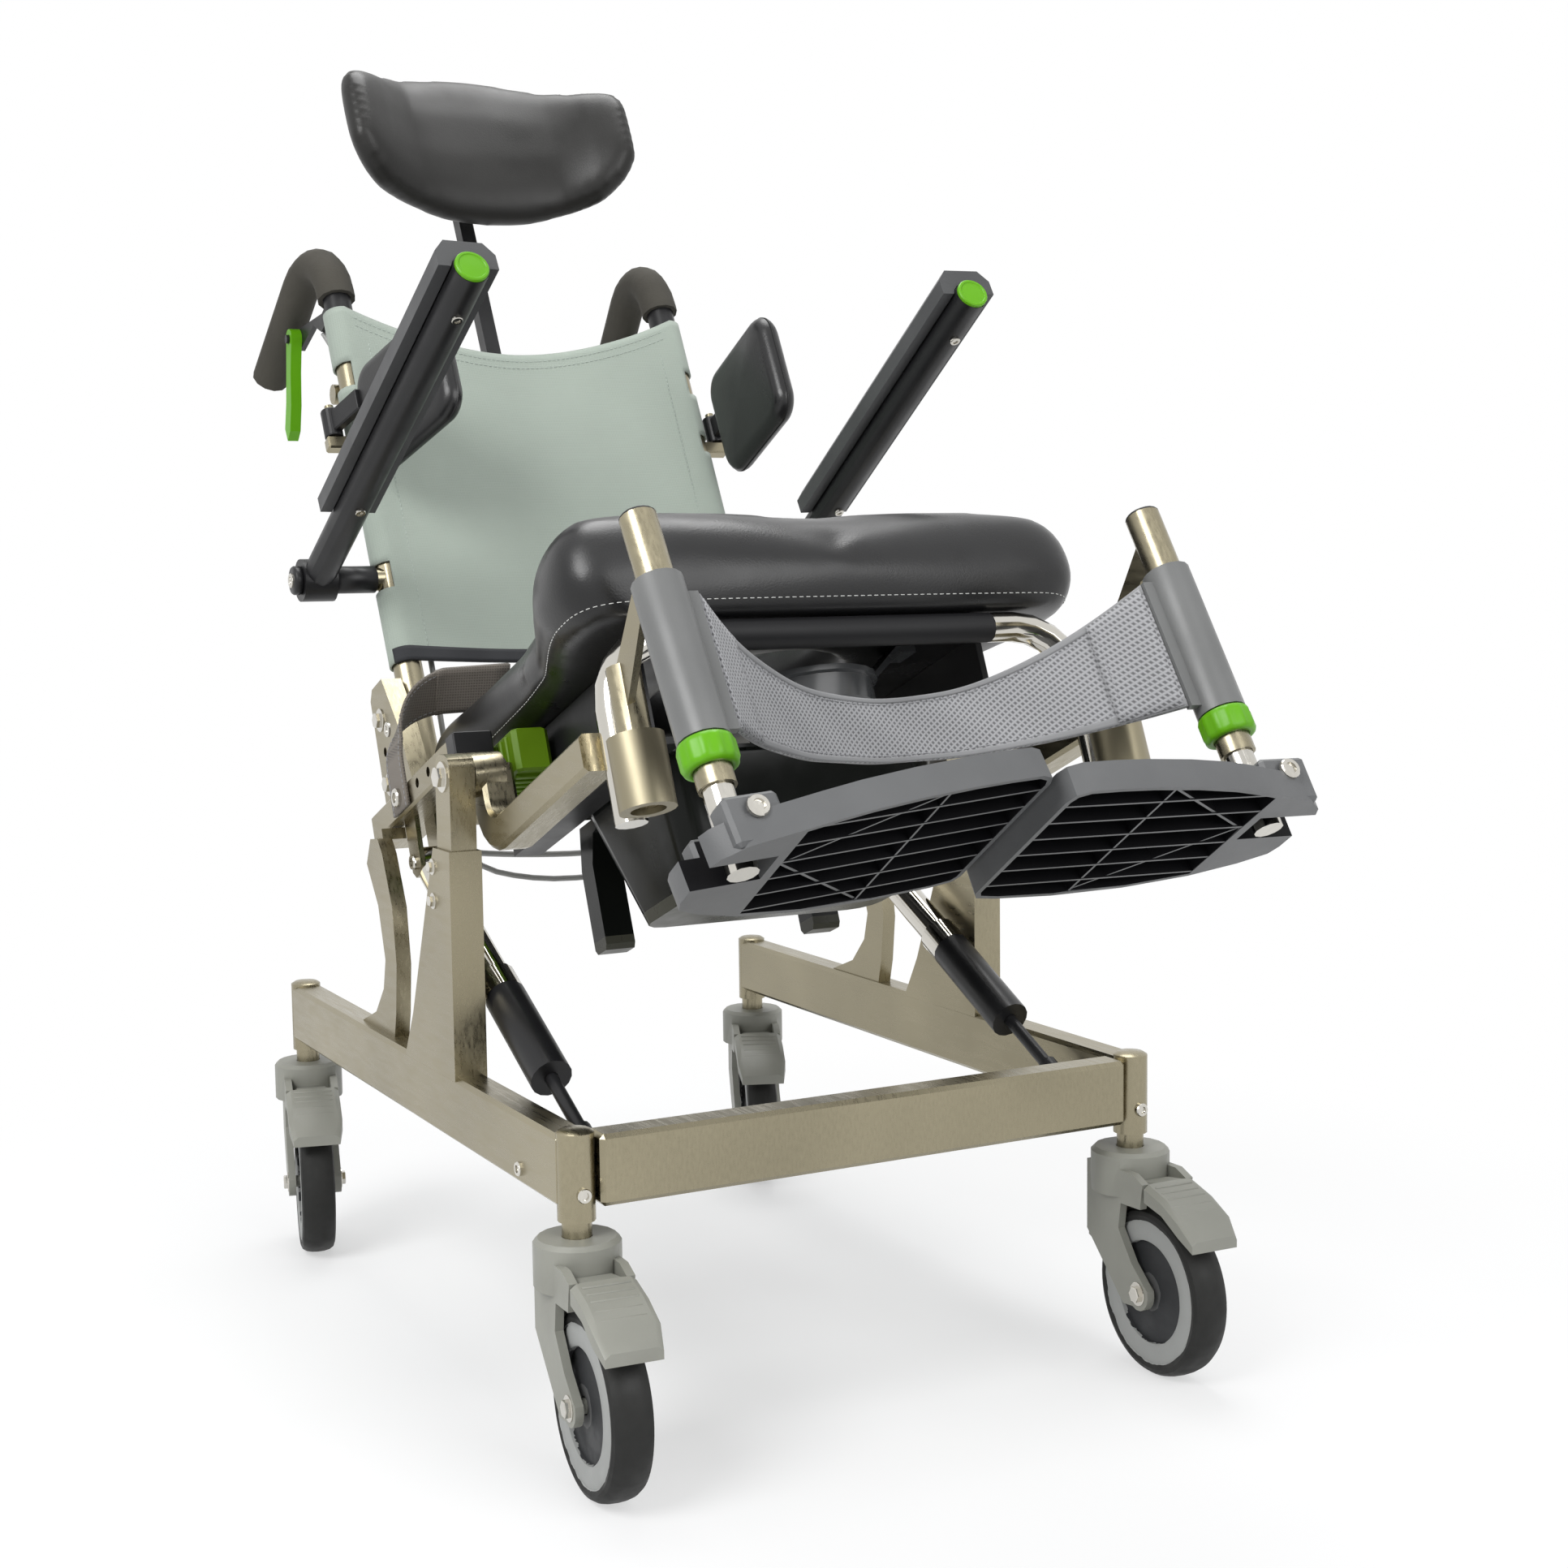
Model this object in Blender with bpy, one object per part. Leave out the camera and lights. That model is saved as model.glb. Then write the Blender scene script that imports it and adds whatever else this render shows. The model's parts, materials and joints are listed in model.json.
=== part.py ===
"""Tilt-in-space shower and commode chair for a child: wheeled base, tilting seat, back, arms and legrests.

Metres, +Z up, chair facing -Y. The origin lies on the floor, midway between the four caster swivel axes.
Seat pieces are drawn in the seat's own frame, whose origin is the tilt axis.
"""

import math

import bmesh
import bpy
from mathutils import Matrix, Vector

# Fits
GAP = 0.0003
PLAY = 0.0003

# Wheeled base
TRACK = 0.4474
WHEELBASE = 0.6142
TUBE_WIDTH = 0.0254
RAIL_FLOOR = 0.181
RAIL_HEIGHT = 0.048
POST_DROP = 0.009
POST_DOME = 0.0044
STEM_RADIUS = 0.010
STEM_LENGTH = 0.0225

# Casters
WHEEL_RADIUS = 0.0625
WHEEL_WIDTH = 0.030
TRAIL = 0.0415
AXLE_RADIUS = 0.005
CAP_RADIUS = 0.0293
CAP_HEIGHT = 0.0324
CAP_TOP = 0.1614
FORK_WALL = 0.006
FORK_GAP = 0.0015
SWIVEL_REST = {"fl": -3.5, "fr": -1.6, "rl": -13.0, "rr": -22.0}

# Uprights and tilt axis
AXIS_Y = -0.097
AXIS_Z = 0.447
TILT = math.radians(22.0)
UPRIGHT_TOP = 0.394
UPRIGHT_DEPTH = 0.035
UPRIGHT_FOOT = 0.109
HEIGHT_POST_DEPTH = 0.030
HEIGHT_POST_WIDTH = 0.0195
HEIGHT_POST_CROWN = 0.016
HEIGHT_POST_SUNK = 0.063
PIVOT_PIN_RADIUS = 0.006
STAY_THICK = 0.012
STAY_INSET = 0.0082

# Gas springs
SPRING_X = 0.193
SPRING_FOOT_Y = -0.270
SPRING_FOOT_Z = 0.2007
SPRING_HEAD_Y = 0.172
SPRING_HEAD_Z = -0.018
SPRING_EYE_WIDTH = 0.012
SPRING_EYE_RADIUS = 0.0115
SPRING_HEAD_PLAY = 0.0022
SPRING_ROD_RADIUS = 0.005
SPRING_TUBE_RADIUS = 0.0125
SPRING_SLEEVE_RADIUS = 0.0155
SPRING_SLEEVE_START = 0.0863
SPRING_SLEEVE_LENGTH = 0.118
SPRING_PIN_RADIUS = 0.004
LUG_THICK = 0.004

# Seat frame
BAR_INNER = 0.184
BAR_WIDTH = 0.030
BAR_FRONT = 0.018
BAR_LENGTH = 0.217
BAR_FLOOR = 0.0165
BAR_HEIGHT = 0.022
BAR_HOLE_RADIUS = 0.004
BAR_HOLE_FIRST = 0.036
BAR_HOLE_PITCH = 0.028
BRACKET_TOP = 0.155
BRACKET_DEPTH = 0.062
BOSS_RADIUS = 0.0165
BOSS_INNER = 0.190
BOSS_WIDTH = 0.0235
DROP_TUBE_SIDE = 0.026
DROP_TUBE_X = 0.1955
DROP_DEPTH = 0.0515
DROP_FRONT_Z = -0.0465
HOOP_RADIUS = 0.011
HOOP_X = 0.187
HOOP_Y = -0.206
HOOP_FOOT = -0.100
COLLAR_RADIUS = 0.019
COLLAR_REACH = 0.0285
COLLAR_FLOOR = -0.099
COLLAR_HEIGHT = 0.049
CROSS_TUBE_RADIUS = 0.011
CROSS_TUBE_Y = 0.200

# Back
BACK_X = 0.160
BACK_FOOT_Y = 0.2285
BACK_FOOT_Z = 0.030
BACK_LEAN = math.radians(5.31)
BACK_TUBE_RADIUS = 0.0125
HANDLE_CORNER = 0.5845
HANDLE_FLARE = 0.016
HANDLE_REACH = 0.184
HANDLE_DROP = math.radians(16.9)
HANDLE_BEND = 0.055
GRIP_RADIUS = 0.017
GRIP_START = 0.505
SLING_FOOT = 0.1416
SLING_TOP = 0.489
SLING_DIP = 0.036
SLING_SAG = 0.012
SLING_THICK = 0.0025
BACK_BAR_UP = 0.420
BACK_BAR_RADIUS = 0.009
STEM_SIDE = 0.014
STEM_BACK = 0.050
STEM_FOOT = 0.330
HEADREST_HALF = 0.135
HEADREST_FOOT = 0.5925
HEADREST_HEIGHT = 0.156
HEADREST_THICK = 0.045
HEADREST_WRAP = 0.058
HEADREST_CAP = 0.80
HEADREST_SWEEP = 0.045
HEADREST_SHOULDER = 0.050
HEADREST_EAR_RISE = 0.011
LEVER_PIN_RADIUS = 0.004
LEVER_WIDTH = 0.010
LEVER_Y = 0.092
LEVER_RISE = 0.017
LEVER_HANG = math.radians(53.3)
LEVER_LENGTH = 0.094
LATERAL_PIN_X = 0.186
LATERAL_UP = 0.350
LATERAL_PIN_RADIUS = 0.004
LATERAL_THICK = 0.027
LATERAL_DEPTH = 0.125
LATERAL_HEIGHT = 0.105
LATERAL_REST = {"left": 18.0, "right": 0.0}

# Arms
ARM_X = 0.225
ARM_UP = 0.224
ARM_LENGTH = 0.410
ARM_RISE = math.radians(4.96)
ARM_TOE = 0.016
ARM_TUBE_RADIUS = 0.0135
ARM_EYE_RADIUS = 0.018
ARM_EYE_WIDTH = 0.028
ARM_PIN_RADIUS = 0.0065
KNOB_RADIUS = 0.011
KNOB_LENGTH = 0.006
ARM_PAD_START = 0.098
ARM_PAD_WIDTH = 0.046
ARM_PAD_RISE = 0.026
ARM_PAD_FLOOR = 0.003

# Seat cushion, pan and splash cup
CUSHION_FRONT = -0.219
CUSHION_BACK = 0.208
CUSHION_CLEAR = 0.0015
CUSHION_SHOULDER = 0.205
CUSHION_TOP = 0.099
CUSHION_ROLL = 0.120
APERTURE_X = 0.066
APERTURE_Y = -0.030
APERTURE_HALF_LENGTH = 0.095
RAIL_LIP = 0.018
RAIL_WALL = 0.005
PAN_RAIL_X = 0.136
PAN_RAIL_FRONT = -0.160
PAN_RAIL_LENGTH = 0.280
PAN_LIP_TOP = -0.028
PAN_FRONT = -0.125
PAN_LENGTH = 0.170
PAN_DEPTH = 0.100
PAN_RIM = 0.0028
PAN_WALL = 0.003
CUP_RADIUS = 0.055
CUP_Y = -0.130
CUP_FLOOR = -0.018
CUP_HEIGHT = 0.030
CUP_WALL = 0.003

# Legrests
LEG_X = 0.194
LEG_TOP_Y = -0.310
LEG_TOP_Z = 0.0685
LEG_LEAN = math.radians(11.43)
LEG_TUBE_RADIUS = 0.0122
LEG_TUBE_LENGTH = 0.192
FOOT_TUBE_RADIUS = 0.010
FOOT_TUBE_START = 0.095
FOOT_TUBE_PAST = 0.0235
HANGER_PIN_RADIUS = 0.0115
HANGER_PIN_TOP = -0.003
HANGER_PIN_FOOT = -0.095
HANGER_PLATE = 0.005
SLEEVE_START = 0.048
SLEEVE_LENGTH = 0.112
SLEEVE_RADIUS = 0.0168
SLEEVE_FIN = 0.0245
STRAP_THICK = 0.003
STRAP_BOW = 0.085
FLIP_AT = 0.225
FLIP_PIN_RADIUS = 0.004
FLIP_REST = {"left": 5.0, "right": 1.0}
PLATE_SLOPE = math.radians(12.0)
PLATE_INNER = 0.190
PLATE_OUTER = 0.031
PLATE_TOE = 0.066
PLATE_HEEL = 0.081
PLATE_TOP = -0.002
PLATE_DEEP = 0.020
PLATE_SKIN = 0.004
PLATE_WALL = 0.0035
PLATE_RIB = 0.0018
PLATE_RIBS = 6
PLATE_BRACE = -0.113
PLATE_BRACE_STEP = 0.0004

# Belt and cables
BELT_WIDTH = 0.038
BELT_THICK = 0.003
BELT_Y = 0.150
BELT_END = 0.110
CABLE_RADIUS = 0.0025

# Worked out from the sizes above
HALF_TRACK = TRACK / 2
HALF_BASE = WHEELBASE / 2
TUBE_HALF = TUBE_WIDTH / 2
RAIL_TOP = RAIL_FLOOR + RAIL_HEIGHT
STAY_INNER = HALF_TRACK - STAY_INSET
RAIL_INNER = HALF_TRACK - TUBE_HALF
RAIL_OUTER = HALF_TRACK + TUBE_HALF
BAR_OUTER = BAR_INNER + BAR_WIDTH
BAR_TOP = BAR_FLOOR + BAR_HEIGHT
BAR_BACK = BAR_FRONT + BAR_LENGTH
CUSHION_FLOOR = BAR_TOP + GAP
CUSHION_HALF = BACK_X + BACK_TUBE_RADIUS - CUSHION_CLEAR
HEIGHT_POST_TOP = AXIS_Z + HEIGHT_POST_CROWN
LEVER_UP = GRIP_START + LEVER_RISE
FOOT_TUBE_END = FLIP_AT + FOOT_TUBE_PAST
SIDES = (("left", -1), ("right", 1))

FINISHES = {
    "steel": ((0.62, 0.57, 0.46), 0.32, 1.0),
    "chrome": ((0.80, 0.78, 0.74), 0.12, 1.0),
    "caster_plastic": ((0.30, 0.31, 0.30), 0.45, 0.0),
    "tyre": ((0.04, 0.04, 0.04), 0.70, 0.0),
    "black_plastic": ((0.012, 0.012, 0.013), 0.40, 0.0),
    "dark_plastic": ((0.045, 0.048, 0.052), 0.50, 0.0),
    "vinyl": ((0.012, 0.012, 0.014), 0.38, 0.0),
    "sling": ((0.27, 0.33, 0.31), 0.85, 0.0),
    "foam": ((0.055, 0.052, 0.047), 0.85, 0.0),
    "lime": ((0.20, 0.62, 0.01), 0.40, 0.0),
    "mesh_fabric": ((0.13, 0.13, 0.14), 0.90, 0.0),
    "webbing": ((0.055, 0.048, 0.042), 0.85, 0.0),
    "smoke_plastic": ((0.020, 0.024, 0.026), 0.18, 0.0),
}


def clear_scene():
    for item in list(bpy.data.objects):
        bpy.data.objects.remove(item, do_unlink=True)


def finish(name):
    """The Principled material of one finish, made on first use."""
    made = bpy.data.materials.get(name)
    if made:
        return made
    colour, roughness, metallic = FINISHES[name]
    made = bpy.data.materials.new(name)
    made.use_nodes = True
    shader = made.node_tree.nodes["Principled BSDF"]
    shader.inputs["Base Color"].default_value = (*colour, 1.0)
    shader.inputs["Roughness"].default_value = roughness
    shader.inputs["Metallic"].default_value = metallic
    return made


def axis_frame(name, place, parent=None, turn_x=0.0, turn_y=0.0, turn_z=0.0):
    """An empty on a joint axis or a sub-assembly's own frame."""
    empty = bpy.data.objects.new(name, None)
    bpy.context.scene.collection.objects.link(empty)
    empty.location = place
    empty.rotation_euler = (turn_x, turn_y, turn_z)
    empty.parent = parent
    return empty


def solid(shape, name, look, parent=None, origin=(0, 0, 0), side=1):
    """Turn a bmesh into a named object; side -1 gives the mirror image for the left."""
    origin = Vector(origin)
    bmesh.ops.translate(shape, verts=shape.verts, vec=-origin)
    if side < 0:
        bmesh.ops.scale(shape, verts=shape.verts, vec=(-1, 1, 1))
        origin.x = -origin.x
    bmesh.ops.recalc_face_normals(shape, faces=shape.faces)
    mesh = bpy.data.meshes.new(name)
    shape.to_mesh(mesh)
    shape.free()
    mesh.shade_smooth()
    mesh.set_sharp_from_angle(angle=math.radians(35))
    item = bpy.data.objects.new(name, mesh)
    bpy.context.scene.collection.objects.link(item)
    mesh.materials.append(finish(look))
    item.location = origin
    item.parent = parent
    return item


def combine(target, operation, shapes, side=1):
    """Join shapes to an object, or cut them from it; the shapes share the object's frame."""
    for number, shape in enumerate(shapes):
        name = f"{target.name}_{operation.lower()}_{number}"
        tool = solid(shape, name, "steel", target.parent, side=side)
        tool.hide_render = True
        tool.display_type = "WIRE"
        step = target.modifiers.new(name, "BOOLEAN")
        step.operation = operation
        step.solver = "EXACT"
        step.object = tool
    return target


def add(target, *shapes, side=1):
    return combine(target, "UNION", shapes, side)


def cut(target, *shapes, side=1):
    return combine(target, "DIFFERENCE", shapes, side)


def block(low, high, round_edge=0.0, steps=1):
    """A box between two corners, with rounded edges if asked."""
    shape = bmesh.new()
    bmesh.ops.create_cube(shape, size=1.0)
    low = Vector(low)
    high = Vector(high)
    for vert in shape.verts:
        for axis in range(3):
            vert.co[axis] = high[axis] if vert.co[axis] > 0 else low[axis]
    if round_edge:
        bmesh.ops.bevel(shape, geom=shape.edges[:], offset=round_edge, segments=steps,
                        profile=0.5, affect="EDGES")
    return shape


def plate(outline, low, high, axis="x"):
    """An outline drawn in the plane across an axis, extruded from low to high along it."""
    place = {
        "x": lambda a, b, c: (c, a, b),
        "y": lambda a, b, c: (a, c, b),
        "z": lambda a, b, c: (a, b, c),
    }[axis]
    shape = bmesh.new()
    ends = [[shape.verts.new(place(a, b, level)) for a, b in outline] for level in (low, high)]
    bridge(shape, ends[0], ends[1])
    shape.faces.new(ends[0])
    shape.faces.new(ends[1])
    return shape


def bridge(shape, first, second):
    """Quads between two closed rings of the same count."""
    for here in range(len(first)):
        after = (here + 1) % len(first)
        shape.faces.new((first[here], first[after], second[after], second[here]))


def circle(radius, sides=12):
    return [(radius * math.cos(math.tau * k / sides), radius * math.sin(math.tau * k / sides))
            for k in range(sides)]


def arc(centre, radius, start, stop, steps):
    """Points of an arc, angles in degrees."""
    turns = [math.radians(start + (stop - start) * k / steps) for k in range(steps + 1)]
    return [(centre[0] + radius * math.cos(t), centre[1] + radius * math.sin(t)) for t in turns]


def rounded(points, radius, steps=5):
    """A polyline whose inner corners become arcs."""
    points = [Vector(p) for p in points]
    path = [points[0]]
    for before, corner, after in zip(points, points[1:], points[2:]):
        into = (corner - before).normalized()
        out = (after - corner).normalized()
        turn = into.angle(out)
        reach = radius * math.tan(turn / 2)
        start = corner - into * reach
        centre = start + (out - into * into.dot(out)).normalized() * radius
        axis = into.cross(out).normalized()
        for k in range(steps + 1):
            path.append(centre + Matrix.Rotation(turn * k / steps, 3, axis) @ (start - centre))
    path.append(points[-1])
    return path


def rings_along(shape, path, section, across):
    """Rings of one section along a path; across is the direction of the section's first axis."""
    rings = []
    path = [Vector(p) for p in path]
    across = Vector(across)
    for here, place in enumerate(path):
        ahead = path[min(here + 1, len(path) - 1)] - place
        behind = place - path[max(here - 1, 0)]
        along = (ahead.normalized() + behind.normalized()).normalized()
        first = (across - along * along.dot(across)).normalized()
        second = along.cross(first)
        rings.append([shape.verts.new(place + first * a + second * b) for a, b in section])
    return rings


def sweep(path, section, across=(1, 0, 0), bore=None):
    """A section swept along a path; with a bore section the sweep is a pipe open at both ends."""
    shape = bmesh.new()
    outer = rings_along(shape, path, section, across)
    for first, second in zip(outer, outer[1:]):
        bridge(shape, first, second)
    if bore is None:
        shape.faces.new(outer[0])
        shape.faces.new(outer[-1])
        return shape
    inner = rings_along(shape, path, bore, across)
    for first, second in zip(inner, inner[1:]):
        bridge(shape, first, second)
    bridge(shape, outer[0], inner[0])
    bridge(shape, outer[-1], inner[-1])
    return shape


def rod(start, stop, radius, sides=12, bore=None):
    """A straight round bar, or a pipe if it has a bore."""
    along = Vector(stop) - Vector(start)
    across = (0, 1, 0) if abs(along.normalized().x) > 0.9 else (1, 0, 0)
    inner = circle(bore, sides) if bore else None
    return sweep([start, stop], circle(radius, sides), across, inner)


def turned(profile, place=(0, 0, 0), axis="z", sides=16, closed=False):
    """A profile of (radius, height) pairs revolved round an axis; a closed profile leaves a bore."""
    shape = bmesh.new()
    rings = []
    for radius, height in profile:
        spots = []
        for a, b in circle(radius, sides) if radius else [(0.0, 0.0)]:
            spot = {"x": (height, a, b), "y": (a, height, b), "z": (a, b, height)}[axis]
            spots.append(shape.verts.new(Vector(place) + Vector(spot)))
        rings.append(spots)
    pairs = list(zip(rings, rings[1:]))
    if closed:
        pairs.append((rings[-1], rings[0]))
    for first, second in pairs:
        if len(first) == 1 or len(second) == 1:
            tip, ring = (first[0], second) if len(first) == 1 else (second[0], first)
            for here in range(len(ring)):
                shape.faces.new((tip, ring[here], ring[(here + 1) % len(ring)]))
        else:
            bridge(shape, first, second)
    if not closed:
        for end in (rings[0], rings[-1]):
            if len(end) > 1:
                shape.faces.new(end)
    return shape


def loft(rings):
    """A closed body through rings of points, capped at both ends."""
    shape = bmesh.new()
    rows = [[shape.verts.new(point) for point in ring] for ring in rings]
    for first, second in zip(rows, rows[1:]):
        bridge(shape, first, second)
    shape.faces.new(rows[0])
    shape.faces.new(rows[-1])
    return shape


def side_frame(side_name, side):
    """Rail, corner posts, upright and curved rear stay of one side, welded into one frame."""
    rail = block((RAIL_INNER, -HALF_BASE, RAIL_FLOOR), (RAIL_OUTER, HALF_BASE, RAIL_TOP), 0.003)
    frame = solid(rail, f"side_frame_{side_name}", "steel", side=side)
    post = [
        (STEM_RADIUS, RAIL_FLOOR - POST_DROP - STEM_LENGTH),
        (STEM_RADIUS, RAIL_FLOOR - POST_DROP),
        (TUBE_HALF, RAIL_FLOOR - POST_DROP),
        (TUBE_HALF, RAIL_TOP + POST_DOME * 0.4),
        (TUBE_HALF * 0.75, RAIL_TOP + POST_DOME * 0.85),
        (0.0, RAIL_TOP + POST_DOME),
    ]
    foot = RAIL_TOP - 0.004
    front = AXIS_Y - UPRIGHT_DEPTH / 2
    back = AXIS_Y + UPRIGHT_DEPTH / 2
    heel = front + UPRIGHT_FOOT
    upright = [
        (front, foot),
        (front, UPRIGHT_TOP),
        (back, UPRIGHT_TOP),
        (heel - 0.019, RAIL_TOP + 0.033),
        (heel - 0.011, RAIL_TOP + 0.019),
        (heel, RAIL_TOP),
        (heel, foot),
    ]
    add(frame,
        turned(post, (HALF_TRACK, -HALF_BASE, 0)),
        turned(post, (HALF_TRACK, HALF_BASE, 0)),
        plate(upright, RAIL_INNER + GAP, RAIL_OUTER - GAP),
        plate(stay_outline(foot), STAY_INNER, STAY_INNER + STAY_THICK),
        stop_tab(), side=side)
    socket_depth = HEIGHT_POST_DEPTH / 2 + GAP
    socket_half = HEIGHT_POST_WIDTH / 2 + GAP
    cut(frame,
        block((HALF_TRACK - socket_half, AXIS_Y - socket_depth, UPRIGHT_TOP - HEIGHT_POST_SUNK - GAP),
              (HALF_TRACK + socket_half, AXIS_Y + socket_depth, UPRIGHT_TOP + 0.02)), side=side)
    return frame


def seat_to_world(y, z):
    """A point of the tilted seat frame in world (y, z)."""
    return (AXIS_Y + y * math.cos(TILT) + z * math.sin(TILT),
            AXIS_Z - y * math.sin(TILT) + z * math.cos(TILT))


def stay_outline(foot):
    """The C-shaped rear stay, hollow side to the rear, widening to a lug below the seat bar."""
    lug_y, lug_z = seat_to_world(BAR_BACK - 0.028, BAR_FLOOR)
    waist = RAIL_TOP + 0.059
    front = [(0.0486, foot), (0.0425, RAIL_TOP + 0.02), (0.038, waist), (0.045, waist + 0.045)]
    crown = [(lug_y - 0.035, lug_z - 0.012), (lug_y - 0.024, lug_z - 0.001),
             (lug_y - 0.006, lug_z - 0.003)]
    back = [(lug_y + 0.005, lug_z - 0.024), (0.0800, waist + 0.042), (0.0656, waist),
            (0.0720, RAIL_TOP + 0.035)]
    heel = [(0.0930, RAIL_TOP + 0.013), (0.1287, RAIL_TOP), (0.1287, foot)]
    return front + crown + back + heel


def stop_tab():
    """The tab of the stay on which the seat bar comes to rest at full tilt."""
    near = [seat_to_world(BAR_BACK - 0.046, BAR_FLOOR - drop) for drop in (0.0008, 0.010)]
    far = [seat_to_world(BAR_BACK - 0.036, BAR_FLOOR - drop) for drop in (0.010, 0.0008)]
    return plate(near + far, BAR_INNER + BAR_WIDTH * 0.6, STAY_INNER + STAY_THICK / 2)


def front_crossbar():
    """The tube between the front posts, with two lugs and a pin for the foot of each gas spring."""
    half = RAIL_INNER - GAP
    tube = block((-half, -HALF_BASE - TUBE_HALF, RAIL_FLOOR), (half, -HALF_BASE + TUBE_HALF, RAIL_TOP),
                 0.003)
    bar = solid(tube, "front_crossbar", "steel")
    inner = -HALF_BASE + TUBE_HALF - 0.002
    eye_half = SPRING_EYE_WIDTH / 2
    for _, side in SIDES:
        lug = [(inner, RAIL_FLOOR + 0.006), (inner, RAIL_TOP - 0.006),
               (SPRING_FOOT_Y, SPRING_FOOT_Z + 0.009), (SPRING_FOOT_Y + 0.008, SPRING_FOOT_Z + 0.003),
               (SPRING_FOOT_Y + 0.008, SPRING_FOOT_Z - 0.005), (SPRING_FOOT_Y, SPRING_FOOT_Z - 0.010)]
        near = SPRING_X - eye_half - PLAY
        far = SPRING_X + eye_half + PLAY
        add(bar, plate(lug, near - LUG_THICK, near), plate(lug, far, far + LUG_THICK),
            rod((near - LUG_THICK / 2, SPRING_FOOT_Y, SPRING_FOOT_Z),
                (far + LUG_THICK / 2, SPRING_FOOT_Y, SPRING_FOOT_Z), SPRING_PIN_RADIUS), side=side)
    return bar


def height_post(side_name, side):
    """The telescoping post in the upright, with the tilt pivot pin near its rounded top."""
    half = HEIGHT_POST_DEPTH / 2
    crown = HEIGHT_POST_TOP - half * 0.55
    outline = [(AXIS_Y - half, UPRIGHT_TOP - HEIGHT_POST_SUNK),
               (AXIS_Y + half, UPRIGHT_TOP - HEIGHT_POST_SUNK),
               (AXIS_Y + half, crown)]
    outline += [(AXIS_Y + half * 0.8, HEIGHT_POST_TOP - half * 0.16),
                (AXIS_Y + half * 0.4, HEIGHT_POST_TOP)]
    outline += [(AXIS_Y - half * 0.4, HEIGHT_POST_TOP),
                (AXIS_Y - half * 0.8, HEIGHT_POST_TOP - half * 0.16)]
    outline += [(AXIS_Y - half, crown)]
    inner = HALF_TRACK - HEIGHT_POST_WIDTH / 2
    post = solid(plate(outline, inner, inner + HEIGHT_POST_WIDTH), f"height_post_{side_name}", "steel",
                 side=side)
    add(post,
        rod((BOSS_INNER - 0.002, AXIS_Y, AXIS_Z), (inner + 0.004, AXIS_Y, AXIS_Z), PIVOT_PIN_RADIUS,
            16),
        side=side)
    return post


def caster(corner, x, y):
    """One braked swivel caster: fork, wheel on its axle and foot pedal."""
    swivel = axis_frame(f"swivel_{corner}", (x, y, 0), turn_z=math.radians(SWIVEL_REST[corner]))
    axle_z = WHEEL_RADIUS
    inner = WHEEL_WIDTH / 2 + FORK_GAP
    outer = inner + FORK_WALL
    cap_floor = CAP_TOP - CAP_HEIGHT
    cap = [(0.0, cap_floor), (CAP_RADIUS, cap_floor), (CAP_RADIUS, CAP_TOP - 0.003),
           (CAP_RADIUS - 0.003, CAP_TOP),
           (STEM_RADIUS + GAP, CAP_TOP), (STEM_RADIUS + GAP, cap_floor + 0.018),
           (0.0, cap_floor + 0.018)]
    fork = solid(turned(cap, sides=18), f"caster_fork_{corner}", "caster_plastic", swivel)
    leg = [(0.0235, cap_floor + 0.02), (0.0235, axle_z + 0.033), (-TRAIL + 0.018, axle_z - 0.012)]
    leg += arc((-TRAIL, axle_z), 0.0125, -60, -200, 6)
    leg += [(-TRAIL + 0.008, axle_z + 0.021), (-0.017, axle_z + 0.043), (-0.020, cap_floor - 0.004),
            (-0.044, cap_floor - 0.003), (-0.047, cap_floor + 0.016), (-0.034, cap_floor + 0.021)]
    wall = block((-outer + 0.001, 0.0190, axle_z + 0.026), (outer - 0.001, 0.0245, cap_floor + 0.015),
                 0.002)
    add(fork, plate(leg, inner, outer), plate(leg, -outer, -inner), wall,
        rod((-outer + 0.002, -TRAIL, axle_z), (outer - 0.002, -TRAIL, axle_z), AXLE_RADIUS, 16))
    wheel_solid(corner, swivel)
    pedal_solid(corner, swivel, cap_floor)


def wheel_solid(corner, swivel):
    """Hub, recessed web, rim and round tyre, turned about the axle."""
    half = WHEEL_WIDTH / 2
    rise = WHEEL_RADIUS
    right = [(AXLE_RADIUS + PLAY, half), (0.017, half), (0.019, half - 0.003),
             (rise - 0.0155, half - 0.003),
             (rise - 0.0135, half - 0.0015), (rise - 0.009, half - 0.0015),
             (rise - 0.0055, half - 0.003),
             (rise - 0.0015, half - 0.0085), (rise, half - 0.0115)]
    left = [(r, -x) for r, x in reversed(right)]
    shape = turned(right + left, (0, -TRAIL, WHEEL_RADIUS), "x", 20, closed=True)
    solid(shape, f"caster_wheel_{corner}", "tyre", swivel, (0, -TRAIL, WHEEL_RADIUS))


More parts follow.
